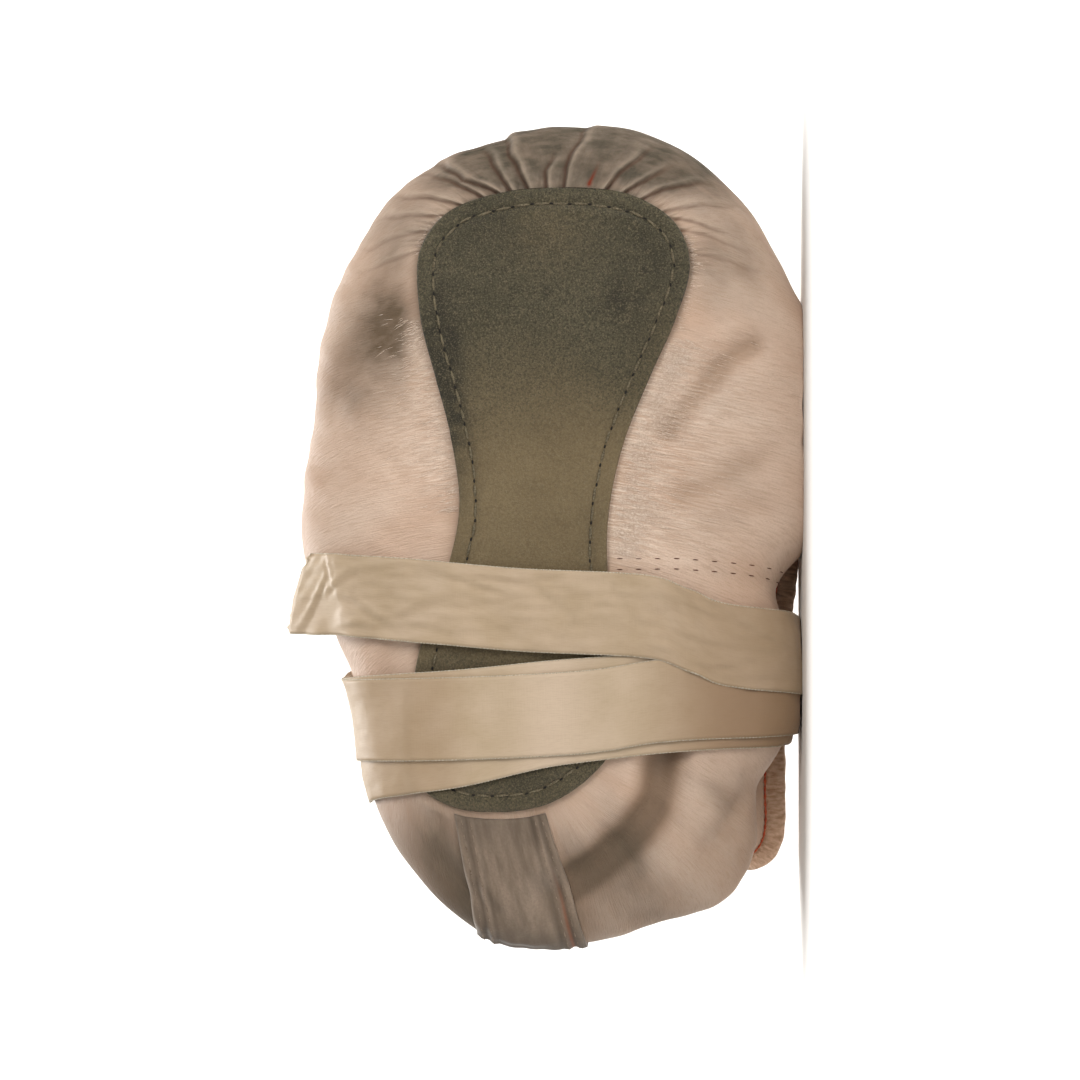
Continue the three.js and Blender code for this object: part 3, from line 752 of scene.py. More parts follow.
# Split suede: a short open nap, dull, speckled where dirt has gone in, greasy dark where it is worn
suedeLook = {
    "laid": "object",
    "surface": {
        "Roughness": 0.95, "Specular IOR Level": 0.2, "Sheen Weight": 0.2, "Sheen Roughness": 0.6,
    },
    "patterns": {
        "nap": (0.42, 0.42, 3, 0.65), "speck": (0.7, 0.7, 3, 0.6),
        "blotch": (4.167, 4.167, 5, 0.65), "cloud": (23.81, 23.81, 4, 0.6),
    },
    "layers": [
        ("#736449",),
        ("#7d6e52", ("cloud", 0.36, 0.66)),
        ([("#575240",), ("#434030", ("cloud", 0.4, 0.64))], "toe"),
        ("#2e2c22", "soil", ("blotch", 0.32, 0.66, 0.5, 1.3)),
        ("#2e2c22", ("toe", 0, 1, 0.25, 0.85), ("speck", 0.36, 0.58, 1.0, 0.0)),
        ("#8f8268", ("nap", 0.5, 0.68, 0.0, 0.42)),
    ],
    "bump": (0.8, 0.00035, {"nap": 1.0, "blotch": 1.0}),
}
soleSpots = [
    (166, 98, 18, 6, -8, 0.95), (148, 94, 16, 5, 8, 0.85), (176, 50, 5, 5, 0, 0.6),
    (190, 60, 12, 22, 0, 0.35), (196, 84, 8, 12, -30, 0.35), (172, 44, 14, 8, 0, 0.4),
    (160, 70, 12, 20, 0, 0.25), (186, 38, 12, 6, 30, 0.35), (48, 80, 9, 22, 0, 0.6),
    (62, 98, 14, 8, 0, 0.35), (76, 92, 8, 12, 0, 0.45), (130, 93, 16, 3, 0, 0.3),
    (110, 56, 12, 3, 0, 0.2), (178.5, 68.5, 1.1, 1.4, 30, 1.0), (176.0, 99.0, 0.9, 1.3, 0, 1.0),
    (184.5, 43.5, 0.7, 0.9, 0, 0.9),
]
# pale is the paler patch near the toe: X, Z, half length, half width
soleShape = {
    "lengthCells": 300, "widthCells": 96, "tip": 0.03, "round": 0.9, "clear": 0.1,
    "groove": 4.5, "grooveDeep": 0.35, "grooveWide": 0.8, "pale": (194.0, 68.0, 9.0, 12.0), "paleness": 0.4,
}


def makeSole():
    s = soleShape
    even = np.linspace(0, 1, s["widthCells"] + 1)
    outline = soleOutline(0)
    # rows crowd towards both edges, where the corner is worn
    x, z = soleGrid(outline, 0, s["lengthCells"], 0.5 * even + 0.25 * (1 - np.cos(math.pi * even)))
    inside = edgeDistance(x, z, outline)
    worn = 1 - np.sqrt(1 - np.clip(1 - inside / s["round"], 0, 1) ** 2)
    y = spring(x) + s["round"] * 0.6 * worn
    y = y + s["grooveDeep"] * bell(inside - s["groove"], s["grooveWide"])
    y = y + 0.10 * ripple(x, z, 14, 9.0) + 0.06 * ripple(x, z, 15, 3.0)
    y = y - 0.12 * bell(inside - s["groove"] - 2.2, 1.2)
    toe = ease(x + 4 * ripple(x, z, 9, 30.0), 128, 176)
    paleX, paleZ, paleLong, paleWide = s["pale"]
    toe = toe - s["paleness"] * bell(x - paleX, paleLong) * bell(z - paleZ, paleWide)
    heel = 1 - ease(x + 3 * ripple(x, z, 10, 24.0), 62, 92)
    layers = {"soil": spotted(x, z, soleSpots), "toe": np.clip(toe + 0.75 * heel, 0, 1)}
    sheet = thickened(np.stack([x, y, z], -1), layers, shoe["soleThick"] - s["clear"])
    obj = gridPiece("suede_sole", *sheet)
    finishPiece(obj, "sole_suede", makeMaterial("split_suede", suedeLook))
    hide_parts("sole")


insoleShape = {"thick": 1.5, "inset": 2.0, "lengthCells": 150, "widthCells": 50, "clear": 0.15}


def makeInsole():
    s = insoleShape
    shares = np.linspace(0, 1, s["widthCells"] + 1)
    x, z = soleGrid(soleOutline(s["inset"]), s["inset"], s["lengthCells"], shares)
    lower = shoe["soleThick"] + 2 * shoe["gap"] + shoe["wall"] + s["clear"]
    y = lower + spring(x) + 0.12 * ripple(x, z, 21, 18.0)
    sheet = thickened(np.stack([x, y, z], -1), {}, s["thick"] - 2 * s["clear"])
    obj = gridPiece("cotton_insole", *sheet)
    cotton = makeMaterial("worn_cotton_insole", liningLook("#cdb998", "#a18c6e"))
    finishPiece(obj, "insole_cotton", cotton)
    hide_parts("insole")


stitchSides = {"segments": 8, "rings": 6}


# One thread, thin at both ends and a little arched: modelled once, then laid along each seam
def stitchForm():
    bpy.ops.object.select_all(action="DESELECT")
    sides = {"segments": stitchSides["segments"], "ring_count": stitchSides["rings"]}
    bpy.ops.mesh.primitive_uv_sphere_add(radius=0.5, **sides)
    obj = bpy.context.object
    bpy.ops.object.mode_set(mode="EDIT")
    bpy.ops.mesh.select_all(action="SELECT")
    bpy.ops.transform.rotate(value=math.pi / 2, orient_axis="Y", center_override=(0, 0, 0))
    bpy.ops.object.mode_set(mode="OBJECT")
    verts = np.array([v.co[:] for v in obj.data.vertices])
    faces = [tuple(p.vertices) for p in obj.data.polygons]
    bpy.data.objects.remove(obj)
    verts[:, 2] += 0.25 * (0.25 - verts[:, 0] ** 2)
    return verts, faces


def layCopies(name, form, centres, along, normal, size):
    verts, faces = form
    side = unit(np.cross(normal, along))
    axes = np.stack([along, side, unit(np.cross(along, side))], 1)
    axes = axes * np.broadcast_to(np.asarray(size, float), (len(centres), 3))[:, :, None]
    points = centres[:, None, :] + verts @ axes
    allFaces = [tuple(i + k * len(verts) for i in f) for k in range(len(centres)) for f in faces]
    obj = facesPiece(name, points, allFaces)
    obj.data.shade_smooth()
    return obj


# Stitches along a line of the cloth: their places, the way each runs and the cloth's normal there
def stitchesOn(u, v, lift, pitch, start):
    line = cloth(u, v, lift)
    at, run = evenly(line, pitch, start)
    steps = runLength(line)
    normal = normalOf(cloth, np.interp(run, steps, u), np.interp(run, steps, v), 0.0015)
    return at, unit(np.gradient(at, axis=0)), normal


soleStitch = {"inset": 4.5, "pitch": 5.2, "long": 3.9, "wide": 0.75, "thick": 0.55, "hole": (1.1, 0.55, 0.3)}


def makeSoleStitches(form):
    k = soleStitch
    line = soleOutline(k["inset"], 2400)
    # at the tight heel corner the inset line crosses itself, so it is smoothed first
    for _ in range(60):
        line = (np.roll(line, 1, 0) + line + np.roll(line, -1, 0)) / 3
    at, _ = evenly(np.concatenate([line, line[:1]]), k["pitch"])
    ahead = unit(np.roll(at, -1, 0) - np.roll(at, 1, 0))
    normal = np.tile([0.0, -1.0, 0.0], (len(at), 1))
    height = spring(at[:, 0])
    jitter = rng.normal(0, 1, (len(at), 3))
    at = at + 0.12 * jitter[:, [0, 2, 1]] * [1, 0, 1]
    at[:, 1] = height + 0.14
    size = np.array([k["long"], k["wide"], k["thick"]]) + 0.4 * jitter[:, 2:] * [1, 0, 0]
    threads = layCopies("sole_stitches", form, at, ahead, normal, size)
    finishPiece(threads, "sole_suede", makeMaterial("soiled_beige_thread", threadLook("#7d735c", "#4a4435")))
    holes = at + ahead * k["pitch"] / 2
    holes[:, 1] = spring(holes[:, 0]) + 0.16
    dots = layCopies("sole_stitch_holes", form, holes, ahead, normal, k["hole"])
    finishPiece(dots, "sole_suede", makeMaterial("needle_hole_shadow", threadLook("#1d1a14", "#14120e")))


def makeSeamStitches(form):
    k = seamLook
    rows = []
    for name, line in seams.items():
        line = np.array(line)
        v = np.linspace(1.02, k["upTo"][name], 400)
        rib = np.interp(v, line[:, 1], line[:, 0])
        for row in (-1, 1):
            u = (rib + row * k["rows"] / ribWidth(rib / ribCount, v)) / ribCount
            rows.append(stitchesOn(u, v, 0.02, k["pitch"], 1.5))
    stitches = layCopies("side_seam_stitches", form, *map(np.concatenate, zip(*rows)), k["stitch"])
    finishPiece(stitches, "upper_satin", makeMaterial("russet_thread", threadLook("#6e4334", "#43271e")))


# The ribbon's way round, from its free cut end inwards: turns, X of its middle
ribbonPath = np.array([
    (0.1, 96.5), (0.16, 95.0), (0.22, 92.6), (0.29, 91.2), (0.325, 87.0), (0.36, 82.5), (0.5, 79.0),
    (0.75, 70.0), (1.0, 62.0), (1.14, 62.8), (1.25, 65.0), (1.33, 69.0), (1.5, 70.0), (1.75, 66.0),
    (2.0, 62.0), (2.14, 64.0), (2.25, 68.4), (2.36, 71.0), (2.5, 71.5), (2.75, 61.0), (3.0, 50.0),
    (3.14, 53.5), (3.25, 62.5), (3.36, 66.5), (3.5, 67.0), (3.62, 67.5),
])
ribbonShape = {
    "wide": 22.0, "thick": 0.34, "pitch": 0.6, "clear": 0.62, "free": 21.0, "tilt": 35.0, "slant": 11.0,
    "curl": 2.2, "ragged": (-0.7, 1.1), "lowest": -0.45, "highest": 1.2,
    "steps": 250, "freeSteps": 22, "columns": 26, "centre": (17.0, 62.0), "half": (17.0, 60.0),
}
# The slipper's girth at steps along X, which the ribbon is wound over
wrapAt = {"from": 38.0, "to": 114.0, "step": 4.0, "reach": 2.5, "normals": 72, "samples": 481}
bindingShape = {"wide": 6.4, "thick": 2.6}


def bindingPoint(u, out, thick):
    forward = rimDirection(u)
    normal = normalOf(smoothSkin, u, 3.0)
    ahead = shoe["gap"] + (out[..., None] + 0.5) * bindingShape["wide"]
    beside = thick[..., None] * bindingShape["thick"] - shoe["wall"] / 2
    point = smoothSkin(u, 3.0) + forward * ahead + normal * beside
    point[..., 2] = np.maximum(point[..., 2], 0)
    return point


def wrapStations():
    k = wrapAt
    u = np.linspace(0, 1, k["samples"])
    cloud = [smoothSkin(u, v) for v in np.linspace(1, 3, 25)]
    cloud += [bindingPoint(u, o + 0 * u, t + 0 * u) for o in (-0.5, 0.5, -0.25, 0.25) for t in (-0.5, 0.5)]
    cloud = np.concatenate([*cloud, closedCurve(edgeLoop, u)])
    angles = np.linspace(0, 2 * math.pi, k["normals"], endpoint=False)
    ways = np.stack([np.cos(angles), np.sin(angles)], -1)
    reach = []
    for x in np.arange(k["from"], k["to"] + k["step"] / 2, k["step"]):
        near = cloud[np.abs(cloud[:, 0] - x) <= k["reach"]]
        reach.append(((near[:, 1:] - ribbonShape["centre"]) @ ways.T).max(0))
    return ways, np.array(reach)


# A point of the taut ribbon, lift outside the slipper's girth
def wrapPoint(turn, x, lift, ways, reach):
    angle = 2 * math.pi * turn
    (centreY, centreZ), (halfY, halfZ) = ribbonShape["centre"], ribbonShape["half"]
    ray = unit(np.stack([-halfY * np.sin(angle), halfZ * np.cos(angle)], -1))
    place = np.clip((x - wrapAt["from"]) / wrapAt["step"], 0, len(reach) - 1.0001)
    first = np.floor(place).astype(int)
    share = (place - first)[..., None]
    limit = reach[first] * (1 - share) + reach[first + 1] * share + lift[..., None]
    facing = ray @ ways.T
    far = np.where(facing > 0.02, limit / np.maximum(facing, 0.02), 1e9).min(-1)
    return np.stack([x, centreY + far * ray[..., 0], centreZ + far * ray[..., 1]], -1)


# Creases pressed into the ribbon: mm from its free end, mm across from its middle, half length,
# half width, turn in degrees from along the ribbon, depth
ribbonCreases = [
    (16, 3, 7, 0.9, 35, 0.5), (24, -4, 8, 1.1, -28, 0.55), (33, 4, 7, 0.9, 52, 0.45),
    (40, -2, 9, 1.2, 24, 0.5), (52, 6, 8, 0.8, -12, 0.6), (58, 1, 6, 0.8, 12, 0.35),
    (66, -5, 9, 1.2, 40, 0.45), (76, 2, 9, 1.0, -38, 0.4), (84, -3, 10, 1.3, 60, 0.4),
    (93, 5, 8, 1.0, -55, 0.4), (103, -1, 11, 1.6, 48, 0.5), (114, 4, 9, 1.4, -60, 0.35),
    (8, -2, 8, 1.0, 62, 0.5), (12, 6, 6, 0.8, -70, 0.4), (36, -7, 9, 0.9, 8, 0.4),
    (64, 7, 10, 0.9, -6, 0.4), (124, -6, 10, 1.2, 20, 0.35), (134, 3, 9, 1.2, -24, 0.3),
    (29, 8, 4, 0.6, 10, 0.3), (46, -8, 5, 0.7, -10, 0.35), (71, 8, 5, 0.7, 4, 0.3),
    (20, -8, 5, 0.8, 14, 0.4),
]

# Double-face polyester satin ribbon: crisp, smooth, with a low gloss across its floats
ribbonLook = {
    "laid": "cloth",
    "surface": {"Roughness": 0.48, "Specular IOR Level": 0.35, "Sheen Weight": 0.08},
    "patterns": {
        "thread": (2.5, 0.35, 2, 0.5), "weft": (0.35, 5.0, 2, 0.5), "cloud": (12.5, 12.5, 3, 0.5),
    },
    "layers": [
        ("#bfac90",),
        ("#d8c5af", ("cloud", 0.35, 0.7, 0.0, 0.5)),
        # painted highlight in a band along the inner turns
        ("#d8c5af", "lit"),
        # warmer tone and painted shade
        ("#93765a", "warm"),
        ("#93765a", ("thread", 0.32, 0.55, 0.1, 0.0)),
    ],
    "bump": (0.35, 0.00012, {"thread": 1.0, "weft": 1.0}),
}


# Face and back of a strip as closed rings across it
def ringed(face, back):
    return np.concatenate([face, back[:, ::-1], face[:, :1]], 1)


# The ribbon laid flat along its way: a grid of points, from the tail that stands free at the cut end
def ribbonLaid(across, turns, away):
    k = ribbonShape
    path = openCurve(ribbonPath / [1, k["wide"]], 20)
    middle = np.interp(turns, path[:, 0], path[:, 1]) * k["wide"]
    lift = k["clear"] + (turns[-1] - turns) * k["pitch"]
    x = middle[:, None] + across * k["wide"]
    grid = wrapPoint(turns[:, None], x, lift[:, None], *wrapStations())
    share = np.linspace(1, 0, k["freeSteps"], endpoint=False)[:, None, None]
    long = (k["free"] - (across + 0.5) * k["slant"])[None, :, None]
    curl = np.array([0, k["curl"], 0]) * np.sin(share * 2.6) * share
    tail = grid[:1] + away * long * share + curl * (0.4 + across[None, :, None])
    return np.concatenate([tail, grid])


# How far the ribbon stands off its laid shape, s mm from its cut end and w mm from its middle
def crumpled(s, w):
    high = 0
    for cs, cw, long, wide, turn, deep in ribbonCreases:
        along, beside = turnedFrom(s, w, cs, cw, turn)
        crease = 0.8 * bell(beside - wide, wide) - bell(beside, wide)
        high = high + 1.5 * deep * bell(along, long) * crease
    rumpled = 0.36 * ripple(s, w * 1.4, 41, 13.0) + 0.2 * ripple(s, w * 2, 42, 5.0)
    edge = ribbonShape["wide"] / 2 - np.abs(w)
    rumpled = rumpled + 0.35 * np.exp(-edge / 1.8) * ripple(s, w, 44, 9.0)
    high = high + (1 - 0.75 * ease(s, 120, 150)) * rumpled + 0.16 * ripple(s, w * 0.35, 43, 24.0)
    return np.clip(high, ribbonShape["lowest"], ribbonShape["highest"]), edge


def makeRibbon():
    k = ribbonShape
    first, last = ribbonPath[0, 0], ribbonPath[-1, 0]
    turns = np.linspace(first, last, round((last - first) * k["steps"]))
    across = np.linspace(-0.5, 0.5, k["columns"])
    tilt = math.radians(k["tilt"])
    away = np.array([0, math.sin(tilt), math.cos(tilt)])
    grid = ribbonLaid(across, turns, away)
    # each turn lies on the one inside it, also where it is pressed on the floor
    floor = np.concatenate([np.zeros(k["freeSteps"]), np.floor(turns) * k["pitch"]])[:, None]
    grid[..., 2] = np.maximum(grid[..., 2], floor)
    run = runLength(grid[:, k["columns"] // 2])
    s, w = np.broadcast_arrays(run[:, None], across * k["wide"])
    normal = unit(np.cross(unit(np.gradient(grid, axis=1)), unit(np.gradient(grid, axis=0))))
    outward = (grid - [0, *k["centre"]]) * [0, 1, 1]
    normal = normal * np.sign((normal * outward).sum(-1).mean())
    high, edge = crumpled(s, w)
    rim = 0.05 * bell(edge - 0.45, 0.4)
    top = grid + normal * (high + k["thick"] + rim)[..., None]
    under = grid + normal * high[..., None]
    top[..., 2] = np.maximum(top[..., 2], floor)
    under[..., 2] = np.maximum(under[..., 2], floor + k["thick"])
    # the cut end is frayed: threads stand out by different lengths
    ragged = rng.uniform(*k["ragged"], k["columns"])
    top[0] += away * ragged[:, None]
    under[0] += away * ragged[:, None]
    rings, ss, ww = ringed(top, under), ringed(s, s), ringed(w, w)
    # painted highlight and painted shade go by the height over the floor, and differ on the turns further
    # in; the outer turn is also a warmer tone
    z = rings[..., 2]
    later = ease(ss, 150, 170)
    warm = 0.26 - 0.14 * later + (0.25 + 0.5 * later) * (1 - ease(z, 16, 52))
    warm = warm + 0.35 * later * ease(z, 84, 100)
    layers = {"warm": warm, "lit": 0.85 * later * bell(z - 67, 11)}
    obj = gridPiece("satin_ribbon", rings, np.stack([ss, ww], -1), layers)
    finishPiece(obj, "ribbon_satin", makeMaterial("cream_satin_ribbon", ribbonLook))
    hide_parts("ribbon")
    selvedges = makeSelvedges(top, under)
    print("ribbon:", round(run[-1]), "mm long")


# Rings of a thread round a line of points, between two ways that are square to it
def threadRings(centres, size, one, other, sides):
    angle = np.linspace(0, 2 * math.pi, sides + 1)[None, :, None]
    ring = np.cos(angle) * one[:, None, :] + np.sin(angle) * other[:, None, :]
    tube = centres[:, None, :] + size[:, None, None] * ring
    tube[..., 2] = np.maximum(tube[..., 2], 0)
    return tube


selvedge = {"sides": 6, "radius": 0.2, "swell": 0.28, "bead": 0.9, "step": 0.45}


# The woven edges: a fine corded line with a bead at each turn of the weft
def makeSelvedges(top, under):
    k = selvedge
    cords = []
    for column in (0, -1):
        line = (top[:, column] + under[:, column]) / 2
        fine, run = evenly(line, k["step"])
        out = unit(sampled(run, runLength(line), unit(top[:, column] - under[:, column])))
        side = unit(np.cross(unit(np.gradient(fine, axis=0)), out))
        size = k["radius"] * (1 + k["swell"] * np.cos(2 * math.pi * run / k["bead"]))
        cords.append(gridPiece("ribbon_selvedges", threadRings(fine, size, out, side, k["sides"])))
    obj = cords[0]
    for cord in cords:
        cord.select_set(True)
    bpy.context.view_layer.objects.active = obj
    bpy.ops.object.join()
    finishPiece(obj, "ribbon_satin", makeMaterial("ribbon_edge_thread", threadLook("#cfc6b4", "#a29681")))
    return obj


# Knitted cotton casing, drawn up along its length: soft ribs across, dull
casingLook = {
    "laid": "cloth",
    "surface": {"Roughness": 0.85, "Sheen Weight": 0.3},
    "patterns": {"knit": (0.8, 2.0, 3, 0.5), "fine": (0.5263, 0.5263, 2, 0.5)},
    "layers": [
        ("#a9866a",),
        ("#d2b096", ("knit", 0.34, 0.62)),
        ("#a9866a", ("fine", 0.4, 0.62, 0.25, 0.0)),
    ],
    "bump": (0.7, 0.0003, {"knit": 1.0, "fine": 1.0}),
}
casing = {
    "rings": 900, "sides": 20, "gather": 0.5, "around": 520.0, "girth": 17.0, "waves": 9, "turns": (60, 150),
}


def makeBinding():
    k = casing
    u = np.linspace(0, 1, k["rings"] + 1)
    angle = np.linspace(0, 2 * math.pi, k["sides"] + 1)
    # a flat tube with round edges
    out = 0.5 * np.sign(np.cos(angle)) * np.abs(np.cos(angle)) ** 0.6
    thick = 0.5 * np.sign(np.sin(angle)) * np.abs(np.sin(angle)) ** 0.8
    r = np.random.default_rng(12)
    wave = np.zeros_like(u)
    for _ in range(k["waves"]):
        turns = r.integers(*k["turns"])
        wave += r.uniform(0.4, 1.0) * np.sin(2 * math.pi * (turns * u + r.uniform()))
    swell = (0.5 + 0.5 * np.clip(wave / 3.0, -1, 1))[:, None]
    o = out * (1 - 0.10 * swell * (out > 0)) - 0.03
    t = thick * (0.62 + k["gather"] * swell * (0.4 + np.abs(out)))
    points = bindingPoint(np.broadcast_to(u[:, None], o.shape), o, t)
    girth = np.linspace(0, k["girth"], k["sides"] + 1)
    uvs = np.stack(np.broadcast_arrays(u[:, None] * k["around"], girth), -1)
    obj = gridPiece("topline_casing", points, uvs)
    finishPiece(obj, "casing_cotton", makeMaterial("peach_knit_casing", casingLook))
    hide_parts("topline_binding")


seamCord = {"rings": 1300, "sides": 6, "radius": 0.3, "swell": 0.3, "twists": 260}


# The line of coral thread and turned cloth where the casing meets the satin
def makeSeamCord():
    k = seamCord
    u = np.linspace(0, 1, k["rings"] + 1)
    rim = smoothSkin(u, 3.0)
    normal = normalOf(smoothSkin, u, 3.0)
    forward = rimDirection(u)
    high = relief(u, 3.0 + 0 * u, rim)[0]
    centre = rim + normal * (high + 0.05)[:, None] + forward * 0.15
    size = k["radius"] * (1 + k["swell"] * np.sin(u * 2 * math.pi * k["twists"]))
    obj = gridPiece("casing_seam_thread", threadRings(centre, size, normal, forward, k["sides"]))
    finishPiece(obj, "casing_cotton", makeMaterial("coral_thread", threadLook("#d56a45", "#a4472b")))


# half is mm from the tape's middle to its edge, and welts are mm from its edge, height, half width
tapeShape = {
    "from": 1.03, "to": 2.93, "rows": 110, "columns": 44, "half": 11.5, "lift": 0.3, "thick": 0.64,
    "welts": [(1.1, 0.55, 0.7), (2.4, -0.25, 0.45), (3.7, 0.3, 0.6), (4.8, -0.16, 0.5)],
    "long": [0, 42, 62], "stitchRows": (1.6, 3.7), "pitch": 3.4, "stitch": (2.2, 0.36, 0.26),
}
# Cotton herringbone tape under worn satin: greyed, with long soft stains down it
tapeLook = {
    "laid": "cloth",
    "surface": {"Roughness": 0.7, "Sheen Weight": 0.25},
    "patterns": {"stain": (2.857, 12.5, 4, 0.6), "grain": (0.625, 0.625, 3, 0.5)},
    "layers": [
        ("#958372",),
        ("#6e5e4e", ("stain", 0.35, 0.66)),
        ("#6e5e4e", ("grain", 0.34, 0.6, 0.3, 0.0)),
        ("#4b4034", "soil"),
        ("#8a4f30", "rust"),
    ],
    "bump": (0.4, 0.0002, {"grain": 1.0}),
}


def makeHeelTape(form):
    k = tapeShape
    v, beside = np.meshgrid(np.linspace(k["from"], k["to"], k["rows"] + 1),
                            np.linspace(-1, 1, k["columns"] + 1), indexing="ij")
    u = beside / ribCount
    inside = (1 - np.abs(beside)) * k["half"]
    high = sum(rise * bell(inside - at, wide) for at, rise, wide in k["welts"])
    high = high + 0.2 * ripple(beside * k["half"], v * 5, 51, 5.0)
    high = high + 0.3 * ripple(beside * 5, v * 42, 52, 9.0) * ease(v, 1.5, 1.9)
    top = cloth(u, v, k["lift"] + k["thick"] + high)
    under = cloth(u, v, 0.22 + 0 * u)
    uvs = np.stack([beside * k["half"], np.interp(v, [1, 2, 3], k["long"])], -1)
    welt = k["welts"][1][0]
    # the tape is drawn darker from part way up to its far end, in a line by the sole's edge and in two lines
    # beside the welts
    soil = 0.1 + ease(v, 1.4, 2.0) * 0.7 + 0.3 * bell(v - 1.05, 0.1)
    soil = soil + 0.45 * bell(inside - welt, 0.4) + 0.35 * bell(inside - 4.9, 0.4)
    rust = 0.6 * bell(inside - welt - 0.2, 0.4) * (beside < 0) * ease(v, 1.2, 1.6)
    layers = {"soil": ringed(np.clip(soil, 0, 0.85), np.clip(soil, 0, 0.85)), "rust": ringed(rust, rust)}
    obj = gridPiece("heel_tape_cover", ringed(top, under), ringed(uvs, uvs), layers)
    finishPiece(obj, "heel_tape", makeMaterial("greyed_cotton_tape", tapeLook))
    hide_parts("heel_tape")
    v = np.linspace(k["from"] + 0.02, k["to"] - 0.02, 300)
    rows = []
    for side in (-1, 1):
        for inset in k["stitchRows"]:
            u = np.full(len(v), side * (1 - inset / k["half"]) / ribCount)
            rows.append(stitchesOn(u, v, k["lift"] + k["thick"] + 0.28, k["pitch"], 1.0))
    stitches = layCopies("heel_tape_stitches", form, *map(np.concatenate, zip(*rows)), k["stitch"])
    finishPiece(stitches, "heel_tape", makeMaterial("grey_tape_thread", threadLook("#8f7f70", "#6c5c4d")))


# Loose floats of the satin standing out of the cloth by the sole's edge
fuzz = [
    # rib from, rib to, count, lean, reach out, length
    (18.3, 21.55, 1500, 0.8, 0.060, 2.0),
    (6.9, 9.9, 700, -0.8, 0.050, 1.5),
    (10.9, 11.9, 90, -0.3, 0.020, 0.9),
    (16.3, 18.2, 160, 0.4, 0.020, 1.0),
]


def makeFuzz():
    r = np.random.default_rng(77)
    strands = []
    for low, high, count, lean, out, long in fuzz:
        rib = r.uniform(low, high, count)
        v = 1.004 + r.exponential(out, count)
        length = long * r.uniform(0.4, 1.5, count)
        way = lean * r.normal(1.0, 0.4, count)
        t = np.array([0, 0.5, 1.0])
        arc = 0.08 + 0.22 * np.sin(t * math.pi * r.uniform(0.5, 0.95, count)[:, None])
        u = (rib[:, None] + (way * length / ribWidth(rib / ribCount, v))[:, None] * t) / ribCount
        strand = cloth(u, v[:, None] + length[:, None] * t / shoe["faceLong"], arc)
        ahead = unit(strand[:, 2] - strand[:, 0])
        beside = unit(np.cross(ahead, [0, -1.0, 0.0])) * r.uniform(0.03, 0.06, count)[:, None]
        # each strand narrows to its tip
        widths = [(j, side * wide) for j, wide in enumerate((1.0, 0.8, 0.2)) for side in (1, -1)]
        strands.append(np.stack([strand[:, j] + wide * beside for j, wide in widths], 1))
    strands = np.concatenate(strands)
    first = np.arange(len(strands))[:, None] * 6
    faces = np.concatenate([first + [0, 1, 3, 2], first + [2, 3, 5, 4]]).tolist()
    obj = facesPiece("pulled_satin_floats", strands, faces)
    finishPiece(obj, "upper_satin", makeMaterial("loose_satin_floats", threadLook("#efe0d2", "#cfb8a3")))


studio = {
    "distance": 0.65, "cameraHeight": 0.03, "frameWidth": 0.29, "aimHeight": 0.0705, "sensor": 36.0,
    "paper": "#f4f2ef", "halfWide": 3.0, "front": -2.2, "back": 1.6, "wallHeight": 3.0, "bend": 0.9,
    "air": (1.0, 0.97, 0.93, 1), "airStrength": 0.2,
}
# place, what it points at, size, power, tint
lamps = {
    "key": ((0.55, -0.95, 0.5), (0, 0, 0.06), 0.5, 5.9, (1.0, 0.955, 0.905)),
    "fill": ((0.2, -1.4, 0.3), (0, 0, 0.06), 1.2, 1.0, (1.0, 0.97, 0.93)),
    "backdrop": ((0.0, 0.6, 1.9), (0, 1.5, 0.2), 1.2, 60.0, (1.0, 1.0, 1.0)),
}


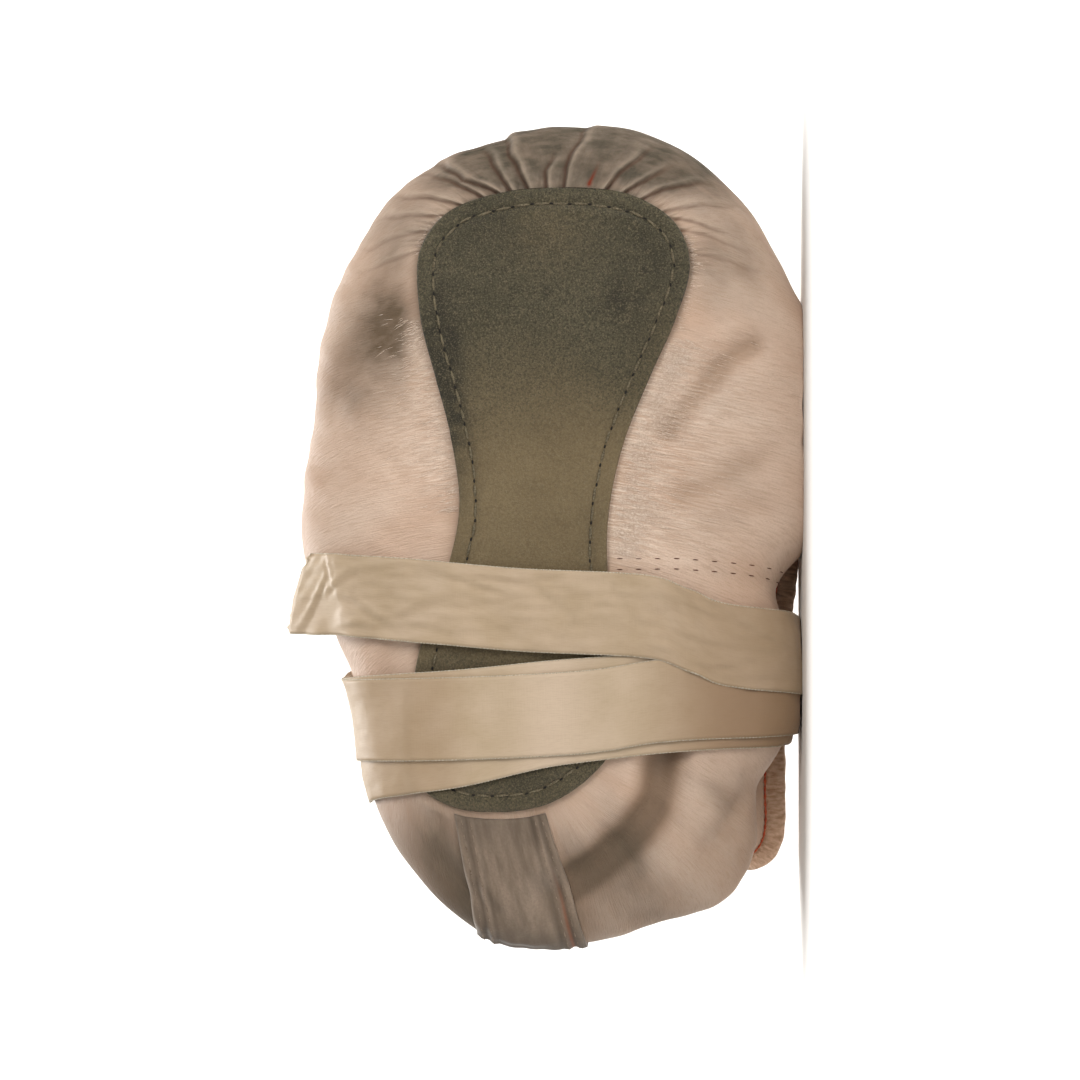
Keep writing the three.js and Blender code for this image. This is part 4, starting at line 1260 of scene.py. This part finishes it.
# Matt paper, whose floor runs back and curves up behind
def makeBackdrop():
    k = studio
    bpy.ops.object.select_all(action="DESELECT")
    bpy.ops.mesh.primitive_plane_add(size=1.0, location=(0, 0, 0))
    floor = bpy.context.object
    floor.name = "studio_floor"
    for vertex in floor.data.vertices:
        x, y = vertex.co.xy
        vertex.co = (2 * k["halfWide"] * x, k["front"] if y < 0 else k["back"], 0)
    bpy.ops.object.mode_set(mode="EDIT")
    bpy.ops.mesh.select_all(action="DESELECT")
    bpy.ops.object.mode_set(mode="OBJECT")
    for edge in floor.data.edges:
        edge.select = all(floor.data.vertices[i].co.y > 0 for i in edge.vertices)
    bpy.ops.object.mode_set(mode="EDIT")
    bpy.ops.mesh.select_mode(type="EDGE")
    bpy.ops.mesh.extrude_region_move(TRANSFORM_OT_translate={"value": (0, 0, k["wallHeight"])})
    bpy.ops.object.mode_set(mode="OBJECT")
    bend = floor.modifiers.new("sweep", "BEVEL")
    bend.width = k["bend"]
    bend.segments = 24
    bend.limit_method = "ANGLE"
    bpy.ops.object.modifier_apply(modifier="sweep")
    bpy.ops.object.shade_smooth()
    paper = bpy.data.materials.new("pale_backdrop_paper")
    paper.use_nodes = True
    shader = paper.node_tree.nodes["Principled BSDF"]
    shader.inputs["Base Color"].default_value = colour(k["paper"])
    shader.inputs["Roughness"].default_value = 0.9
    shader.inputs["Specular IOR Level"].default_value = 0.15
    floor.data.materials.append(paper)


def makeLights():
    world = bpy.data.worlds.new("studio_air")
    bpy.context.scene.world = world
    world.use_nodes = True
    air = world.node_tree.nodes["Background"]
    air.inputs["Color"].default_value = studio["air"]
    air.inputs["Strength"].default_value = studio["airStrength"]
    for name, (place, target, size, power, tint) in lamps.items():
        data = bpy.data.lights.new(name, "AREA")
        data.size = size
        data.energy = power
        data.color = tint
        lamp = bpy.data.objects.new(name, data)
        lamp.location = place
        lamp.rotation_euler = (Vector(target) - Vector(place)).to_track_quat("-Z", "Y").to_euler()
        bpy.context.scene.collection.objects.link(lamp)


# The camera looks at the sole from just above the floor, turned so that the toe is up
def makeCamera():
    data = bpy.data.cameras.new("camera")
    camera = bpy.data.objects.new("camera", data)
    place = Vector((0.0, soleLow.y - studio["distance"], studio["cameraHeight"]))
    aim = Vector((0.0, soleLow.y, studio["aimHeight"]))
    ahead = (aim - place).normalized()
    right = ahead.cross(Vector((1, 0, 0))).normalized()
    up = right.cross(ahead)
    camera.matrix_world = Matrix.Translation(place) @ Matrix((right, up, -ahead)).transposed().to_4x4()
    data.sensor_width = studio["sensor"]
    data.lens = data.sensor_width * (aim - place).length / studio["frameWidth"]
    data.clip_start = 0.01
    data.clip_end = 20
    bpy.context.scene.collection.objects.link(camera)
    bpy.context.scene.camera = camera
    bpy.context.scene.view_settings.view_transform = "Standard"
    print("studio: camera", round(data.lens, 1), "mm lens")


makeBackdrop()
makeLights()
makeCamera()
makeUpper()
makeSole()
makeInsole()
stitch = stitchForm()
makeSoleStitches(stitch)
makeSeamStitches(stitch)
makeBinding()
makeSeamCord()
makeHeelTape(stitch)
makeRibbon()
makeFuzz()
